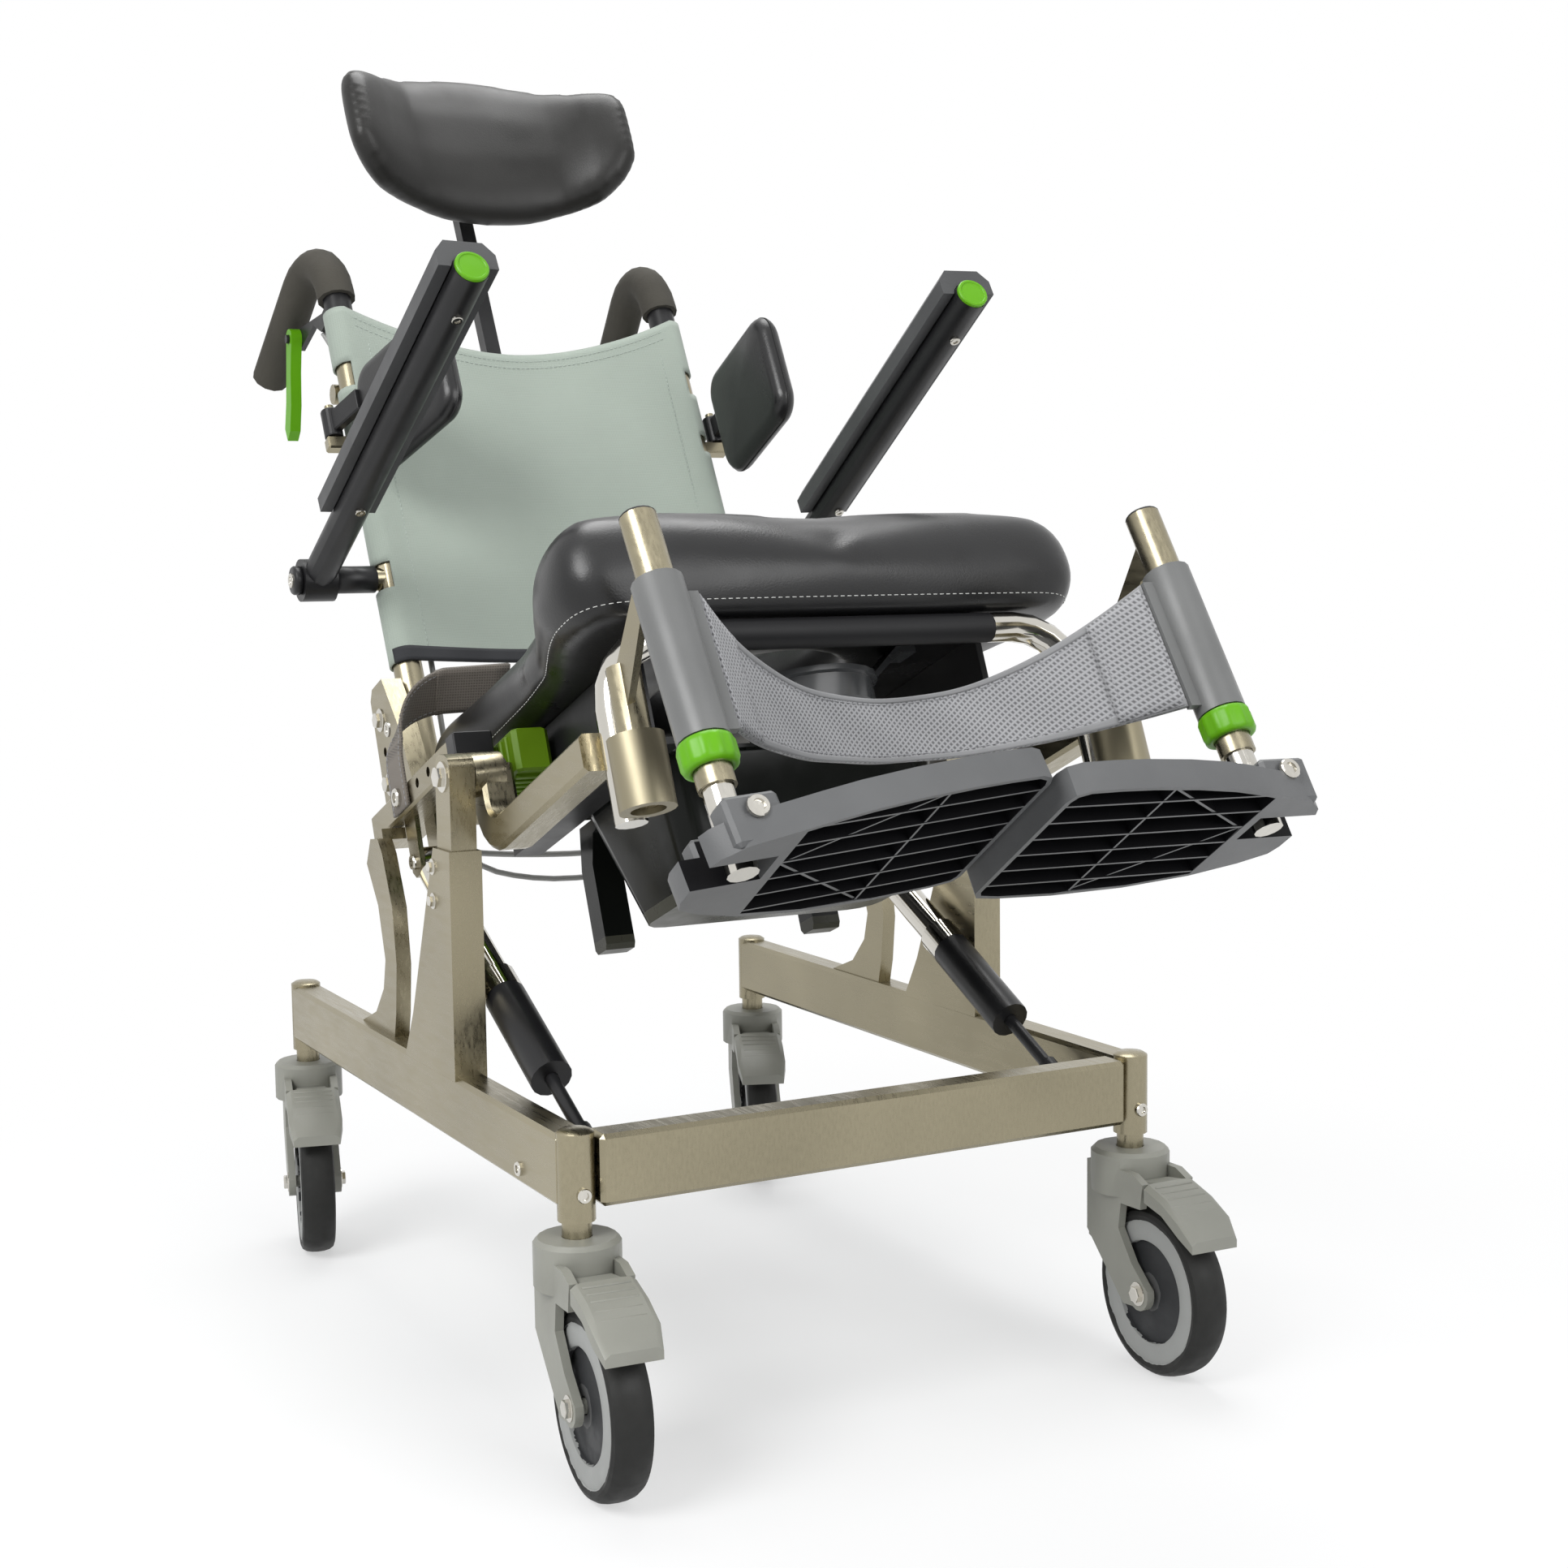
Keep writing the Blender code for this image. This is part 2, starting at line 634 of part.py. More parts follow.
def pedal_solid(corner, swivel, cap_floor):
    """The brake pedal: a wedge on a cross pin between the fork's cheeks, wider at its tip."""
    pin = (0, -0.038, cap_floor + 0.0075)
    narrow = WHEEL_WIDTH / 2 + FORK_GAP - PLAY
    wide = WHEEL_WIDTH / 2 + FORK_GAP + FORK_WALL
    rows = [
        (-CAP_RADIUS - 0.0012, narrow, cap_floor + 0.002, cap_floor + 0.014),
        (-0.0475, narrow, cap_floor + 0.0035, cap_floor + 0.0165),
        (-0.0490, wide, cap_floor + 0.0035, cap_floor + 0.0165),
        (-0.0700, wide, cap_floor - 0.001, cap_floor + 0.0105),
        (-0.0900, wide, cap_floor - 0.012, cap_floor + 0.0005),
        (-0.1030, wide - 0.003, cap_floor - 0.021, cap_floor - 0.0125),
    ]
    rings = [[(-half, y, low), (half, y, low), (half, y, high - 0.003), (half - 0.004, y, high),
              (-half + 0.004, y, high), (-half, y, high - 0.003)] for y, half, low, high in rows]
    solid(loft(rings), f"caster_pedal_{corner}", "caster_plastic", swivel, pin)


def gas_spring(side_name, side):
    """A lockable gas spring: rod with its lower eye, and cylinder with sleeve, tube and upper eye."""
    head_y, head_z = seat_to_world(SPRING_HEAD_Y, SPRING_HEAD_Z)
    foot = Vector((SPRING_X, SPRING_FOOT_Y, SPRING_FOOT_Z))
    head = Vector((SPRING_X, head_y, head_z))
    length = (head - foot).length
    along = (head - foot).normalized()
    foot_axis = axis_frame(f"spring_foot_{side_name}", (side * foot.x, foot.y, foot.z))
    half = SPRING_EYE_WIDTH / 2

    def at(distance):
        return along * distance

    def eye(centre, bore):
        return rod(centre - Vector((half, 0, 0)), centre + Vector((half, 0, 0)), bore, 16)

    rod_top = length - 0.085
    lower = solid(rod(at(0.004), at(rod_top), SPRING_ROD_RADIUS), f"spring_rod_{side_name}",
                  "black_plastic",
                  foot_axis, side=side)
    add(lower, eye(at(0), SPRING_EYE_RADIUS * 0.8),
        rod(at(0.0115), at(0.030), SPRING_ROD_RADIUS + 0.0025),
        side=side)
    cut(lower, eye_bore(at(0), half, SPRING_PIN_RADIUS + PLAY), side=side)

    sleeve_end = SPRING_SLEEVE_START + SPRING_SLEEVE_LENGTH
    upper = solid(rod(at(SPRING_SLEEVE_START), at(sleeve_end), SPRING_SLEEVE_RADIUS, 16),
                  f"spring_cylinder_{side_name}", "chrome", foot_axis, side=side)
    neck = length - SPRING_EYE_RADIUS - 0.006
    add(upper, rod(at(sleeve_end - 0.004), at(neck), SPRING_TUBE_RADIUS, 16),
        rod(at(neck - 0.004), at(length - 0.004), half - 0.0005),
        eye(at(length), SPRING_EYE_RADIUS), side=side)
    cut(upper, rod(at(SPRING_SLEEVE_START - 0.01), at(rod_top + 0.004), SPRING_ROD_RADIUS + PLAY),
        eye_bore(at(length), half, SPRING_PIN_RADIUS + SPRING_HEAD_PLAY), side=side)


def eye_bore(centre, half, radius):
    across = Vector((half + 0.002, 0, 0))
    return rod(Vector(centre) - across, Vector(centre) + across, radius, 16)


def seat_side(side_name, side, tilt):
    """Seat bar with its row of holes, the plate that carries the back post and the spring's clevis."""
    name = f"seat_side_{side_name}"
    bar = solid(block((BAR_INNER, BAR_FRONT, BAR_FLOOR), (BAR_OUTER, BAR_BACK, BAR_TOP), 0.002),
                name, "steel", tilt, side=side)
    plate_start = BAR_BACK - 0.0485
    plate_end = BAR_BACK + BRACKET_DEPTH - 0.035
    bracket = [(plate_start, BAR_FLOOR + 0.001), (plate_end, BAR_FLOOR + 0.001),
               (plate_end, BRACKET_TOP - 0.008),
               (plate_end - 0.008, BRACKET_TOP), (plate_start + 0.040, BRACKET_TOP),
               (plate_start + 0.018, BRACKET_TOP - 0.045), (plate_start, BAR_TOP + 0.012)]
    bracket_inner = BACK_X + BACK_TUBE_RADIUS + GAP
    lug = [(SPRING_HEAD_Y - 0.013, BAR_FLOOR + 0.005), (SPRING_HEAD_Y + 0.013, BAR_FLOOR + 0.005),
           (SPRING_HEAD_Y + 0.011, SPRING_HEAD_Z - 0.006),
           (SPRING_HEAD_Y + 0.004, SPRING_HEAD_Z - 0.012),
           (SPRING_HEAD_Y - 0.004, SPRING_HEAD_Z - 0.012),
           (SPRING_HEAD_Y - 0.011, SPRING_HEAD_Z - 0.006)]
    near = SPRING_X - SPRING_EYE_WIDTH / 2 - PLAY
    far = SPRING_X + SPRING_EYE_WIDTH / 2 + PLAY
    add(bar, plate(bracket, bracket_inner, BAR_INNER + 0.006),
        plate(lug, near - LUG_THICK, near), plate(lug, far, far + LUG_THICK),
        rod((near - LUG_THICK / 2, SPRING_HEAD_Y, SPRING_HEAD_Z),
            (far + LUG_THICK / 2, SPRING_HEAD_Y, SPRING_HEAD_Z),
            SPRING_PIN_RADIUS), side=side)
    middle = BAR_FLOOR + BAR_HEIGHT * 0.57
    holes = [(BAR_FRONT + BAR_HOLE_FIRST + k * BAR_HOLE_PITCH, middle) for k in range(3)]
    holes += [(plate_end - 0.018, BAR_TOP + 0.030 + k * BAR_HOLE_PITCH) for k in range(3)]
    cut(bar,
        *[rod((bracket_inner - 0.01, y, z), (BAR_OUTER + 0.01, y, z), BAR_HOLE_RADIUS) for y, z in holes],
        side=side)


def front_tube(side_name, side, tilt):
    """Square tube that drops from the tilt boss and runs forward to the hoop."""
    path = rounded([(DROP_TUBE_X, 0, 0.0045), (DROP_TUBE_X, 0, -DROP_DEPTH),
                    (DROP_TUBE_X, HOOP_Y + HOOP_RADIUS + GAP, DROP_FRONT_Z)], 0.028)
    half = DROP_TUBE_SIDE / 2
    corner = 0.003
    section = [(half, -half + corner), (half, half - corner), (half - corner, half),
               (-half + corner, half),
               (-half, half - corner), (-half, -half + corner),
               (-half + corner, -half), (half - corner, -half)]
    tube = solid(sweep(path, section), f"front_tube_{side_name}", "steel", tilt, side=side)
    add(tube, rod((BOSS_INNER, 0, 0), (BOSS_INNER + BOSS_WIDTH, 0, 0), BOSS_RADIUS, 20),
        block((BOSS_INNER - 0.002, 0.004, -0.002),
              (DROP_TUBE_X + half - 0.001, 0.050, BAR_FLOOR - GAP)), side=side)
    cut(tube,
        rod((BOSS_INNER - 0.0025, 0, 0), (BOSS_INNER + BOSS_WIDTH + 0.01, 0, 0),
            PIVOT_PIN_RADIUS + PLAY, 16),
        side=side)


def front_hoop(tilt):
    """Chrome hoop under the front of the cushion, with a socket for each legrest hanger."""
    top = CUSHION_FLOOR - GAP - HOOP_RADIUS
    path = rounded([(HOOP_X, HOOP_Y, HOOP_FOOT), (HOOP_X, HOOP_Y, top), (-HOOP_X, HOOP_Y, top),
                    (-HOOP_X, HOOP_Y, HOOP_FOOT)], 0.050)
    hoop = solid(sweep(path, circle(HOOP_RADIUS), (0, 1, 0)), "front_hoop", "chrome", tilt)
    socket_y = HOOP_Y - COLLAR_REACH
    for _, side in SIDES:
        add(hoop,
            rod((HOOP_X, socket_y, COLLAR_FLOOR), (HOOP_X, socket_y, COLLAR_FLOOR + COLLAR_HEIGHT),
                      COLLAR_RADIUS, 20, HANGER_PIN_RADIUS + PLAY), side=side)


def rear_cross_tube(tilt):
    end = BACK_X + BACK_TUBE_RADIUS
    middle = BAR_FLOOR + BAR_HEIGHT / 2
    solid(rod((-end, CROSS_TUBE_Y, middle), (end, CROSS_TUBE_Y, middle), CROSS_TUBE_RADIUS),
          "rear_cross_tube",
          "steel", tilt)


def handle_path(start):
    """The back tube from a height on the post up over the bend to the end of the push handle."""
    end = (BACK_X + HANDLE_FLARE, HANDLE_REACH * math.cos(HANDLE_DROP),
           HANDLE_CORNER - HANDLE_REACH * math.sin(HANDLE_DROP))
    return rounded([(BACK_X, 0, start), (BACK_X, 0, HANDLE_CORNER), end], HANDLE_BEND, 7)


def back_post(side_name, side, back):
    """Back tube with push handle, arm pin and knob, lateral pad lug and lever bracket."""
    post = solid(sweep(handle_path(0), circle(BACK_TUBE_RADIUS)), f"back_post_{side_name}", "steel",
                 back, side=side)
    eye_near = ARM_X - ARM_EYE_WIDTH / 2 - PLAY
    eye_far = ARM_X + ARM_EYE_WIDTH / 2 + PLAY
    arm_pin = [(0.0, BACK_X), (0.010, BACK_X), (0.010, eye_near), (ARM_PIN_RADIUS, eye_near),
               (ARM_PIN_RADIUS, eye_far), (KNOB_RADIUS, eye_far),
               (KNOB_RADIUS, eye_far + KNOB_LENGTH - 0.004),
               (KNOB_RADIUS - 0.004, eye_far + KNOB_LENGTH), (0.0, eye_far + KNOB_LENGTH)]
    lug_top = LATERAL_UP + 0.012
    lever_inner = BACK_X + 0.004
    lever_outer = lever_inner + 0.005
    bracket = [(0.006, GRIP_START - 0.0145), (0.006, GRIP_START - 0.0015), (0.020, GRIP_START - 0.0015),
               (LEVER_Y - 0.007, LEVER_UP + 0.008), (LEVER_Y + 0.003, LEVER_UP + 0.010),
               (LEVER_Y + 0.009, LEVER_UP), (LEVER_Y + 0.005, LEVER_UP - 0.009),
               (0.048, GRIP_START + 0.004), (0.030, GRIP_START - 0.0145)]
    add(post, turned(arm_pin, (0, 0, ARM_UP), "x"),
        block((BACK_X, -0.006, LATERAL_UP), (LATERAL_PIN_X + 0.008, 0.006, lug_top), 0.0015),
        rod((LATERAL_PIN_X, 0, LATERAL_UP + 0.004), (LATERAL_PIN_X, 0, lug_top + 0.032),
            LATERAL_PIN_RADIUS),
        plate(bracket, lever_inner, lever_outer),
        rod((lever_inner + 0.002, LEVER_Y, LEVER_UP),
            (lever_outer + LEVER_WIDTH + 0.003, LEVER_Y, LEVER_UP),
            LEVER_PIN_RADIUS), side=side)
    solid(sweep(handle_path(GRIP_START), circle(GRIP_RADIUS), bore=circle(BACK_TUBE_RADIUS + GAP)),
          f"push_grip_{side_name}", "foam", back, side=side)


def release_lever(side_name, side, back):
    """Squeeze lever under the push handle: round head on its pin and a long slightly waisted blade."""
    pivot = axis_frame(f"lever_axis_{side_name}", (side * BACK_X, LEVER_Y, LEVER_UP), back,
                       turn_x=-LEVER_HANG)
    inner = 0.009 + PLAY
    outer = inner + LEVER_WIDTH
    outline = arc((0, 0), 0.0095, 60, 300, 8)
    outline += [(0.030, -0.0075), (0.060, -0.0105), (LEVER_LENGTH - 0.010, -0.0085)]
    outline += [(LEVER_LENGTH, -0.001), (LEVER_LENGTH - 0.010, 0.0085), (0.060, 0.0060),
                (0.030, 0.0070)]
    lever = solid(plate(outline, inner, outer), f"release_lever_{side_name}", "lime", pivot, side=side)
    cut(lever, rod((inner - 0.005, 0, 0), (outer + 0.005, 0, 0), LEVER_PIN_RADIUS + PLAY), side=side)


def back_crossbar(back):
    """Tube between the back posts with the clamp block of the headrest stem at its middle."""
    end = BACK_X + BACK_TUBE_RADIUS
    behind = BACK_TUBE_RADIUS + BACK_BAR_RADIUS + GAP
    bar = solid(rod((-end, behind, BACK_BAR_UP), (end, behind, BACK_BAR_UP), BACK_BAR_RADIUS),
                "back_crossbar",
                "steel", back)
    half = STEM_SIDE / 2 + PLAY
    wall = 0.007
    add(bar, block((-half - wall, behind, BACK_BAR_UP - 0.016),
                   (half + wall, STEM_BACK + half + wall, BACK_BAR_UP + 0.016), 0.002))
    cut(bar,
        block((-half, STEM_BACK - half, BACK_BAR_UP - 0.03),
              (half, STEM_BACK + half, BACK_BAR_UP + 0.03)))


def back_sling(back):
    """Sheet slung between two sleeves round the back posts, sagging rearward, with a dipped top edge."""
    sleeve_bore = BACK_TUBE_RADIUS + GAP
    sleeve_out = sleeve_bore + SLING_THICK
    steps = 10
    spread = [BACK_X * (2 * k / steps - 1) for k in range(steps + 1)]
    front = [(x, -sleeve_out + SLING_SAG * (1 - (x / BACK_X) ** 2)) for x in spread]
    rear = [(x, y + SLING_THICK) for x, y in reversed(front)]
    sheet = solid(plate(front + rear, SLING_FOOT, SLING_TOP, "z"), "back_sling", "sling", back)
    dip = [(x, SLING_TOP - SLING_DIP * (1 - (x / BACK_X) ** 2)) for x in spread]
    dip += [(BACK_X, SLING_TOP + 0.02), (-BACK_X, SLING_TOP + 0.02)]
    cut(sheet, plate(dip, -0.03, 0.03, "y"))
    for _, side in SIDES:
        add(sheet, rod((BACK_X, 0, SLING_FOOT), (BACK_X, 0, SLING_TOP), sleeve_out, 16), side=side)
        cut(sheet, rod((BACK_X, 0, SLING_FOOT - 0.01), (BACK_X, 0, SLING_TOP + 0.01), sleeve_bore, 16),
            block((BACK_X + 0.004, -0.012, ARM_UP - 0.013), (BACK_X + 0.03, 0.03, ARM_UP + 0.013)),
            block((BACK_X + 0.004, -0.009, LATERAL_UP - 0.003),
                  (BACK_X + 0.03, 0.03, LATERAL_UP + 0.015)),
            block((BACK_X - 0.03, 0.004, BACK_BAR_UP - 0.012),
                  (BACK_X + 0.03, 0.03, BACK_BAR_UP + 0.012)),
            side=side)


def headrest(back):
    """Wrap-round head pad on a cranked stem that slides in the crossbar's clamp."""
    reach = HEADREST_THICK / 2
    pad_back = reach * 0.6
    mount_up = HEADREST_FOOT + HEADREST_HEIGHT * 0.45
    half = STEM_SIDE / 2
    section = [(half, -half), (half, half), (-half, half), (-half, -half)]
    path = rounded([(0, STEM_BACK, STEM_FOOT), (0, STEM_BACK, mount_up),
                    (0, pad_back + 0.0045, mount_up)], 0.018, 4)
    stem = solid(sweep(path, section), "headrest_stem", "black_plastic", back)
    add(stem, rod((0, pad_back + GAP, mount_up), (0, pad_back + 0.006, mount_up), 0.026, 20))
    rings = []
    half_steps = [0.0, 0.2, 0.4, 0.58, 0.74, 0.86, 0.94, 0.985, 1.0]
    for t in [-step for step in half_steps[:0:-1]] + half_steps:
        out = abs(t)
        cap = math.sqrt(1 - min(max(out - HEADREST_CAP, 0) / (1.01 - HEADREST_CAP), 1) ** 2)
        low = HEADREST_FOOT + HEADREST_SWEEP * (1 - math.sqrt(1 - (0.98 * out) ** 2))
        ear = HEADREST_EAR_RISE * math.exp(-((out - 0.94) / 0.10) ** 2)
        high = HEADREST_FOOT + HEADREST_HEIGHT - HEADREST_SHOULDER * out ** 2 + ear
        rise = (high - low) / 2 * (0.62 + 0.38 * cap)
        deep = HEADREST_THICK / 2 * (1 - 0.45 * out * out) * max(cap, 0.3)
        face = pad_back - HEADREST_THICK / 2 - HEADREST_WRAP * out ** 2.6
        rings.append([(HEADREST_HALF * t, face + deep * shape_y, (low + high) / 2 + rise * shape_z)
                      for shape_y, shape_z in superellipse(14, 2.5)])
    solid(loft(rings), "headrest_pad", "vinyl", back)


def superellipse(count, power):
    """Unit rounded-square outline."""
    spots = []
    for k in range(count):
        a = math.tau * (k + 0.5) / count
        c, s = math.cos(a), math.sin(a)
        spots.append((math.copysign(abs(c) ** (2 / power), c), math.copysign(abs(s) ** (2 / power), s)))
    return spots


def lateral_pad(side_name, side, back):
    """Trunk pad on an arm that swings out on the lug's upright pin."""
    pivot = axis_frame(f"lateral_axis_{side_name}", (side * LATERAL_PIN_X, 0, LATERAL_UP), back,
                       turn_z=-side * math.radians(LATERAL_REST[side_name]))
    low = 0.012 + PLAY
    high = low + 0.027
    pad = solid(rod((0, 0, low), (0, 0, high), 0.008, 16, LATERAL_PIN_RADIUS + PLAY),
                f"lateral_pad_{side_name}",
                "vinyl", pivot, side=side)
    near = -0.037
    floor = low - 0.060
    pad_outer = 0.004
    add(pad, block((-0.0045, near - 0.010, low + 0.003), (0.0045, -0.0055, high - 0.003)),
        block((pad_outer - LATERAL_THICK, near - LATERAL_DEPTH, floor),
              (pad_outer, near, floor + LATERAL_HEIGHT),
              0.009, 2), side=side)


def armrest(side_name, side, back):
    """Flip-up arm: tube with pivot eye, and a pad grooved to sit on the tube."""
    pivot = axis_frame(f"arm_axis_{side_name}", (side * ARM_X, 0, ARM_UP), back, turn_x=-ARM_RISE)
    toe = Vector((-ARM_TOE, -ARM_LENGTH, 0)) / ARM_LENGTH
    tube = solid(rod(toe * 0.006, toe * ARM_LENGTH, ARM_TUBE_RADIUS), f"arm_tube_{side_name}",
                 "black_plastic", pivot,
                 side=side)
    half = ARM_EYE_WIDTH / 2
    add(tube, rod((-half, 0, 0), (half, 0, 0), ARM_EYE_RADIUS, 20), side=side)
    cut(tube, rod((-half - 0.002, 0, 0), (half + 0.002, 0, 0), ARM_PIN_RADIUS + PLAY, 16), side=side)
    wide = ARM_PAD_WIDTH / 2
    groove = ARM_TUBE_RADIUS + GAP
    lean = math.degrees(math.asin(ARM_PAD_FLOOR / groove))
    section = [(-wide, ARM_PAD_FLOOR), (-wide, ARM_PAD_RISE - 0.010), (-wide + 0.008, ARM_PAD_RISE),
               (wide - 0.008, ARM_PAD_RISE), (wide, ARM_PAD_RISE - 0.010), (wide, ARM_PAD_FLOOR)]
    section += arc((0, 0), groove, lean, 180 - lean, 8)
    solid(sweep([toe * ARM_PAD_START, toe * (ARM_LENGTH - 0.003)], section), f"arm_pad_{side_name}",
          "dark_plastic", pivot, side=side)


def seat_cushion(tilt):
    """Crowned cushion with broad front shoulders, a raised front roll and an oval aperture."""
    rows = [
        (CUSHION_FRONT, CUSHION_SHOULDER - 0.024, CUSHION_ROLL - 0.036),
        (CUSHION_FRONT + 0.006, CUSHION_SHOULDER - 0.009, CUSHION_ROLL - 0.010),
        (CUSHION_FRONT + 0.024, CUSHION_SHOULDER, CUSHION_ROLL),
        (CUSHION_FRONT + 0.065, CUSHION_SHOULDER - 0.002, CUSHION_ROLL - 0.002),
        (CUSHION_FRONT + 0.105, CUSHION_SHOULDER - 0.016, CUSHION_TOP + 0.010),
        (CUSHION_FRONT + 0.145, CUSHION_HALF + 0.003, CUSHION_TOP + 0.003),
        (CUSHION_FRONT + 0.210, CUSHION_HALF - 0.003, CUSHION_TOP),
        (CUSHION_BACK - 0.100, CUSHION_HALF - 0.003, CUSHION_TOP),
        (CUSHION_BACK - 0.035, CUSHION_HALF, CUSHION_TOP),
        (CUSHION_BACK - 0.010, CUSHION_HALF - 0.004, CUSHION_TOP - 0.006),
        (CUSHION_BACK, CUSHION_HALF - 0.016, CUSHION_TOP - 0.026),
    ]
    rings = []
    for y, half, top in rows:
        floor = CUSHION_FLOOR
        tall = top - floor
        spots = [(-half + 0.012, floor), (half - 0.012, floor), (half - 0.003, floor + tall * 0.14),
                 (half, floor + tall * 0.45), (half - 0.004, floor + tall * 0.74),
                 (half - 0.018, floor + tall * 0.92),
                 (half * 0.72, top - 0.0015), (half * 0.36, top), (0.0, top - 0.002)]
        spots += [(-x, z) for x, z in reversed(spots[2:8])]
        rings.append([(x, y, z) for x, z in spots])
    cushion = solid(loft(rings), "seat_cushion", "vinyl", tilt)
    oval = [(APERTURE_X * a, APERTURE_Y + APERTURE_HALF_LENGTH * b) for a, b in superellipse(20, 2.4)]
    cut(cushion, plate(oval, CUSHION_FLOOR - 0.02, CUSHION_ROLL + 0.02, "z"))


def pan_rail(side_name, side, tilt):
    """Angle under the cushion whose lip carries the pan's rim."""
    top = CUSHION_FLOOR - GAP
    outer = PAN_RAIL_X + RAIL_WALL
    lip = PAN_RAIL_X - RAIL_LIP
    floor = PAN_LIP_TOP - RAIL_WALL
    outline = [(PAN_RAIL_X, top), (outer, top), (outer, floor), (lip, floor), (lip, PAN_LIP_TOP),
               (PAN_RAIL_X, PAN_LIP_TOP)]
    solid(plate(outline, PAN_RAIL_FRONT, PAN_RAIL_FRONT + PAN_RAIL_LENGTH, "y"),
          f"pan_rail_{side_name}",
          "black_plastic", tilt, side=side)


def soft_box(half, front, back, level, radius):
    """Ring of a rounded rectangle at one height."""
    ring = []
    corners = ((half, back, 0), (-half, back, 90), (-half, front, 180), (half, front, 270))
    for x, y, start in corners:
        centre = (x - math.copysign(radius, x), y - (radius if y == back else -radius))
        ring += [(a, b, level) for a, b in arc(centre, radius, start, start + 90, 3)]
    return ring


def commode_pan(tilt):
    """Tapered pan with a rim that slides on the rails, and two rear grips."""
    back = PAN_FRONT + PAN_LENGTH
    rim_floor = PAN_LIP_TOP + GAP
    rim_top = rim_floor + PAN_RIM
    body = PAN_RAIL_X - RAIL_LIP - PAN_WALL
    flange = PAN_RAIL_X - 0.001
    floor = rim_top - PAN_DEPTH
    taper = 0.017
    slant = 0.040
    rings = [
        soft_box(body - taper, PAN_FRONT + 0.020, back - slant, floor, 0.020),
        soft_box(body, PAN_FRONT + 0.006, back - 0.006, rim_floor - PAN_WALL, 0.024),
        soft_box(body, PAN_FRONT + 0.006, back - 0.006, rim_floor, 0.024),
        soft_box(flange, PAN_FRONT, back, rim_floor, 0.020),
        soft_box(flange, PAN_FRONT, back, rim_top, 0.020),
        soft_box(body - PAN_WALL, PAN_FRONT + 0.009, back - 0.009, rim_top, 0.021),
        soft_box(body - taper - PAN_WALL, PAN_FRONT + 0.023, back - slant - PAN_WALL, floor + PAN_WALL,
                 0.017),
    ]
    pan = solid(loft(rings), "commode_pan", "smoke_plastic", tilt)
    drop = floor - 0.002
    grip = [(back - 0.004, rim_floor), (back + 0.030, rim_floor), (back + 0.040, rim_floor - 0.032),
            (back + 0.040, drop + 0.004), (back + 0.036, drop), (back + 0.020, drop),
            (back + 0.017, drop + 0.004),
            (back + 0.017, rim_floor - 0.032), (back + 0.006, rim_floor - 0.010),
            (back - 0.004, rim_floor - 0.008)]
    for _, side in SIDES:
        add(pan, plate([(y, z + PAN_RIM / 2) for y, z in grip], 0.078, 0.102), side=side)


def splash_cup(tilt):
    """Round deflector cup on two flat arms below the front of the cushion."""
    top = CUP_FLOOR + CUP_HEIGHT
    profile = [(0.0, CUP_FLOOR), (CUP_RADIUS - 0.010, CUP_FLOOR),
               (CUP_RADIUS - 0.004, CUP_FLOOR + 0.008),
               (CUP_RADIUS - 0.004, top - 0.005), (CUP_RADIUS, top - 0.004), (CUP_RADIUS, top),
               (CUP_RADIUS - 0.004 - CUP_WALL, top), (CUP_RADIUS - 0.004 - CUP_WALL, CUP_FLOOR + 0.008),
               (CUP_RADIUS - 0.012, CUP_FLOOR + CUP_WALL), (0.0, CUP_FLOOR + CUP_WALL)]
    cup = solid(turned(profile, (0, CUP_Y, 0), "z", 24), "splash_cup", "dark_plastic", tilt)
    for _, side in SIDES:
        arm = [(CUP_RADIUS - 0.005, top - 0.003), (CUP_RADIUS + 0.026, CUSHION_FLOOR - GAP - 0.005),
               (CUP_RADIUS + 0.040, CUSHION_FLOOR - GAP - 0.005),
               (CUP_RADIUS + 0.040, CUSHION_FLOOR - GAP),
               (CUP_RADIUS + 0.024, CUSHION_FLOOR - GAP), (CUP_RADIUS - 0.007, top)]
        add(cup, plate(arm, CUP_Y - 0.012, CUP_Y + 0.012, "y"), side=side)


def leg(distance):
    """A point on the right legrest tube, measured down from its top."""
    return Vector((LEG_X, LEG_TOP_Y - distance * math.sin(LEG_LEAN),
                   LEG_TOP_Z - distance * math.cos(LEG_LEAN)))


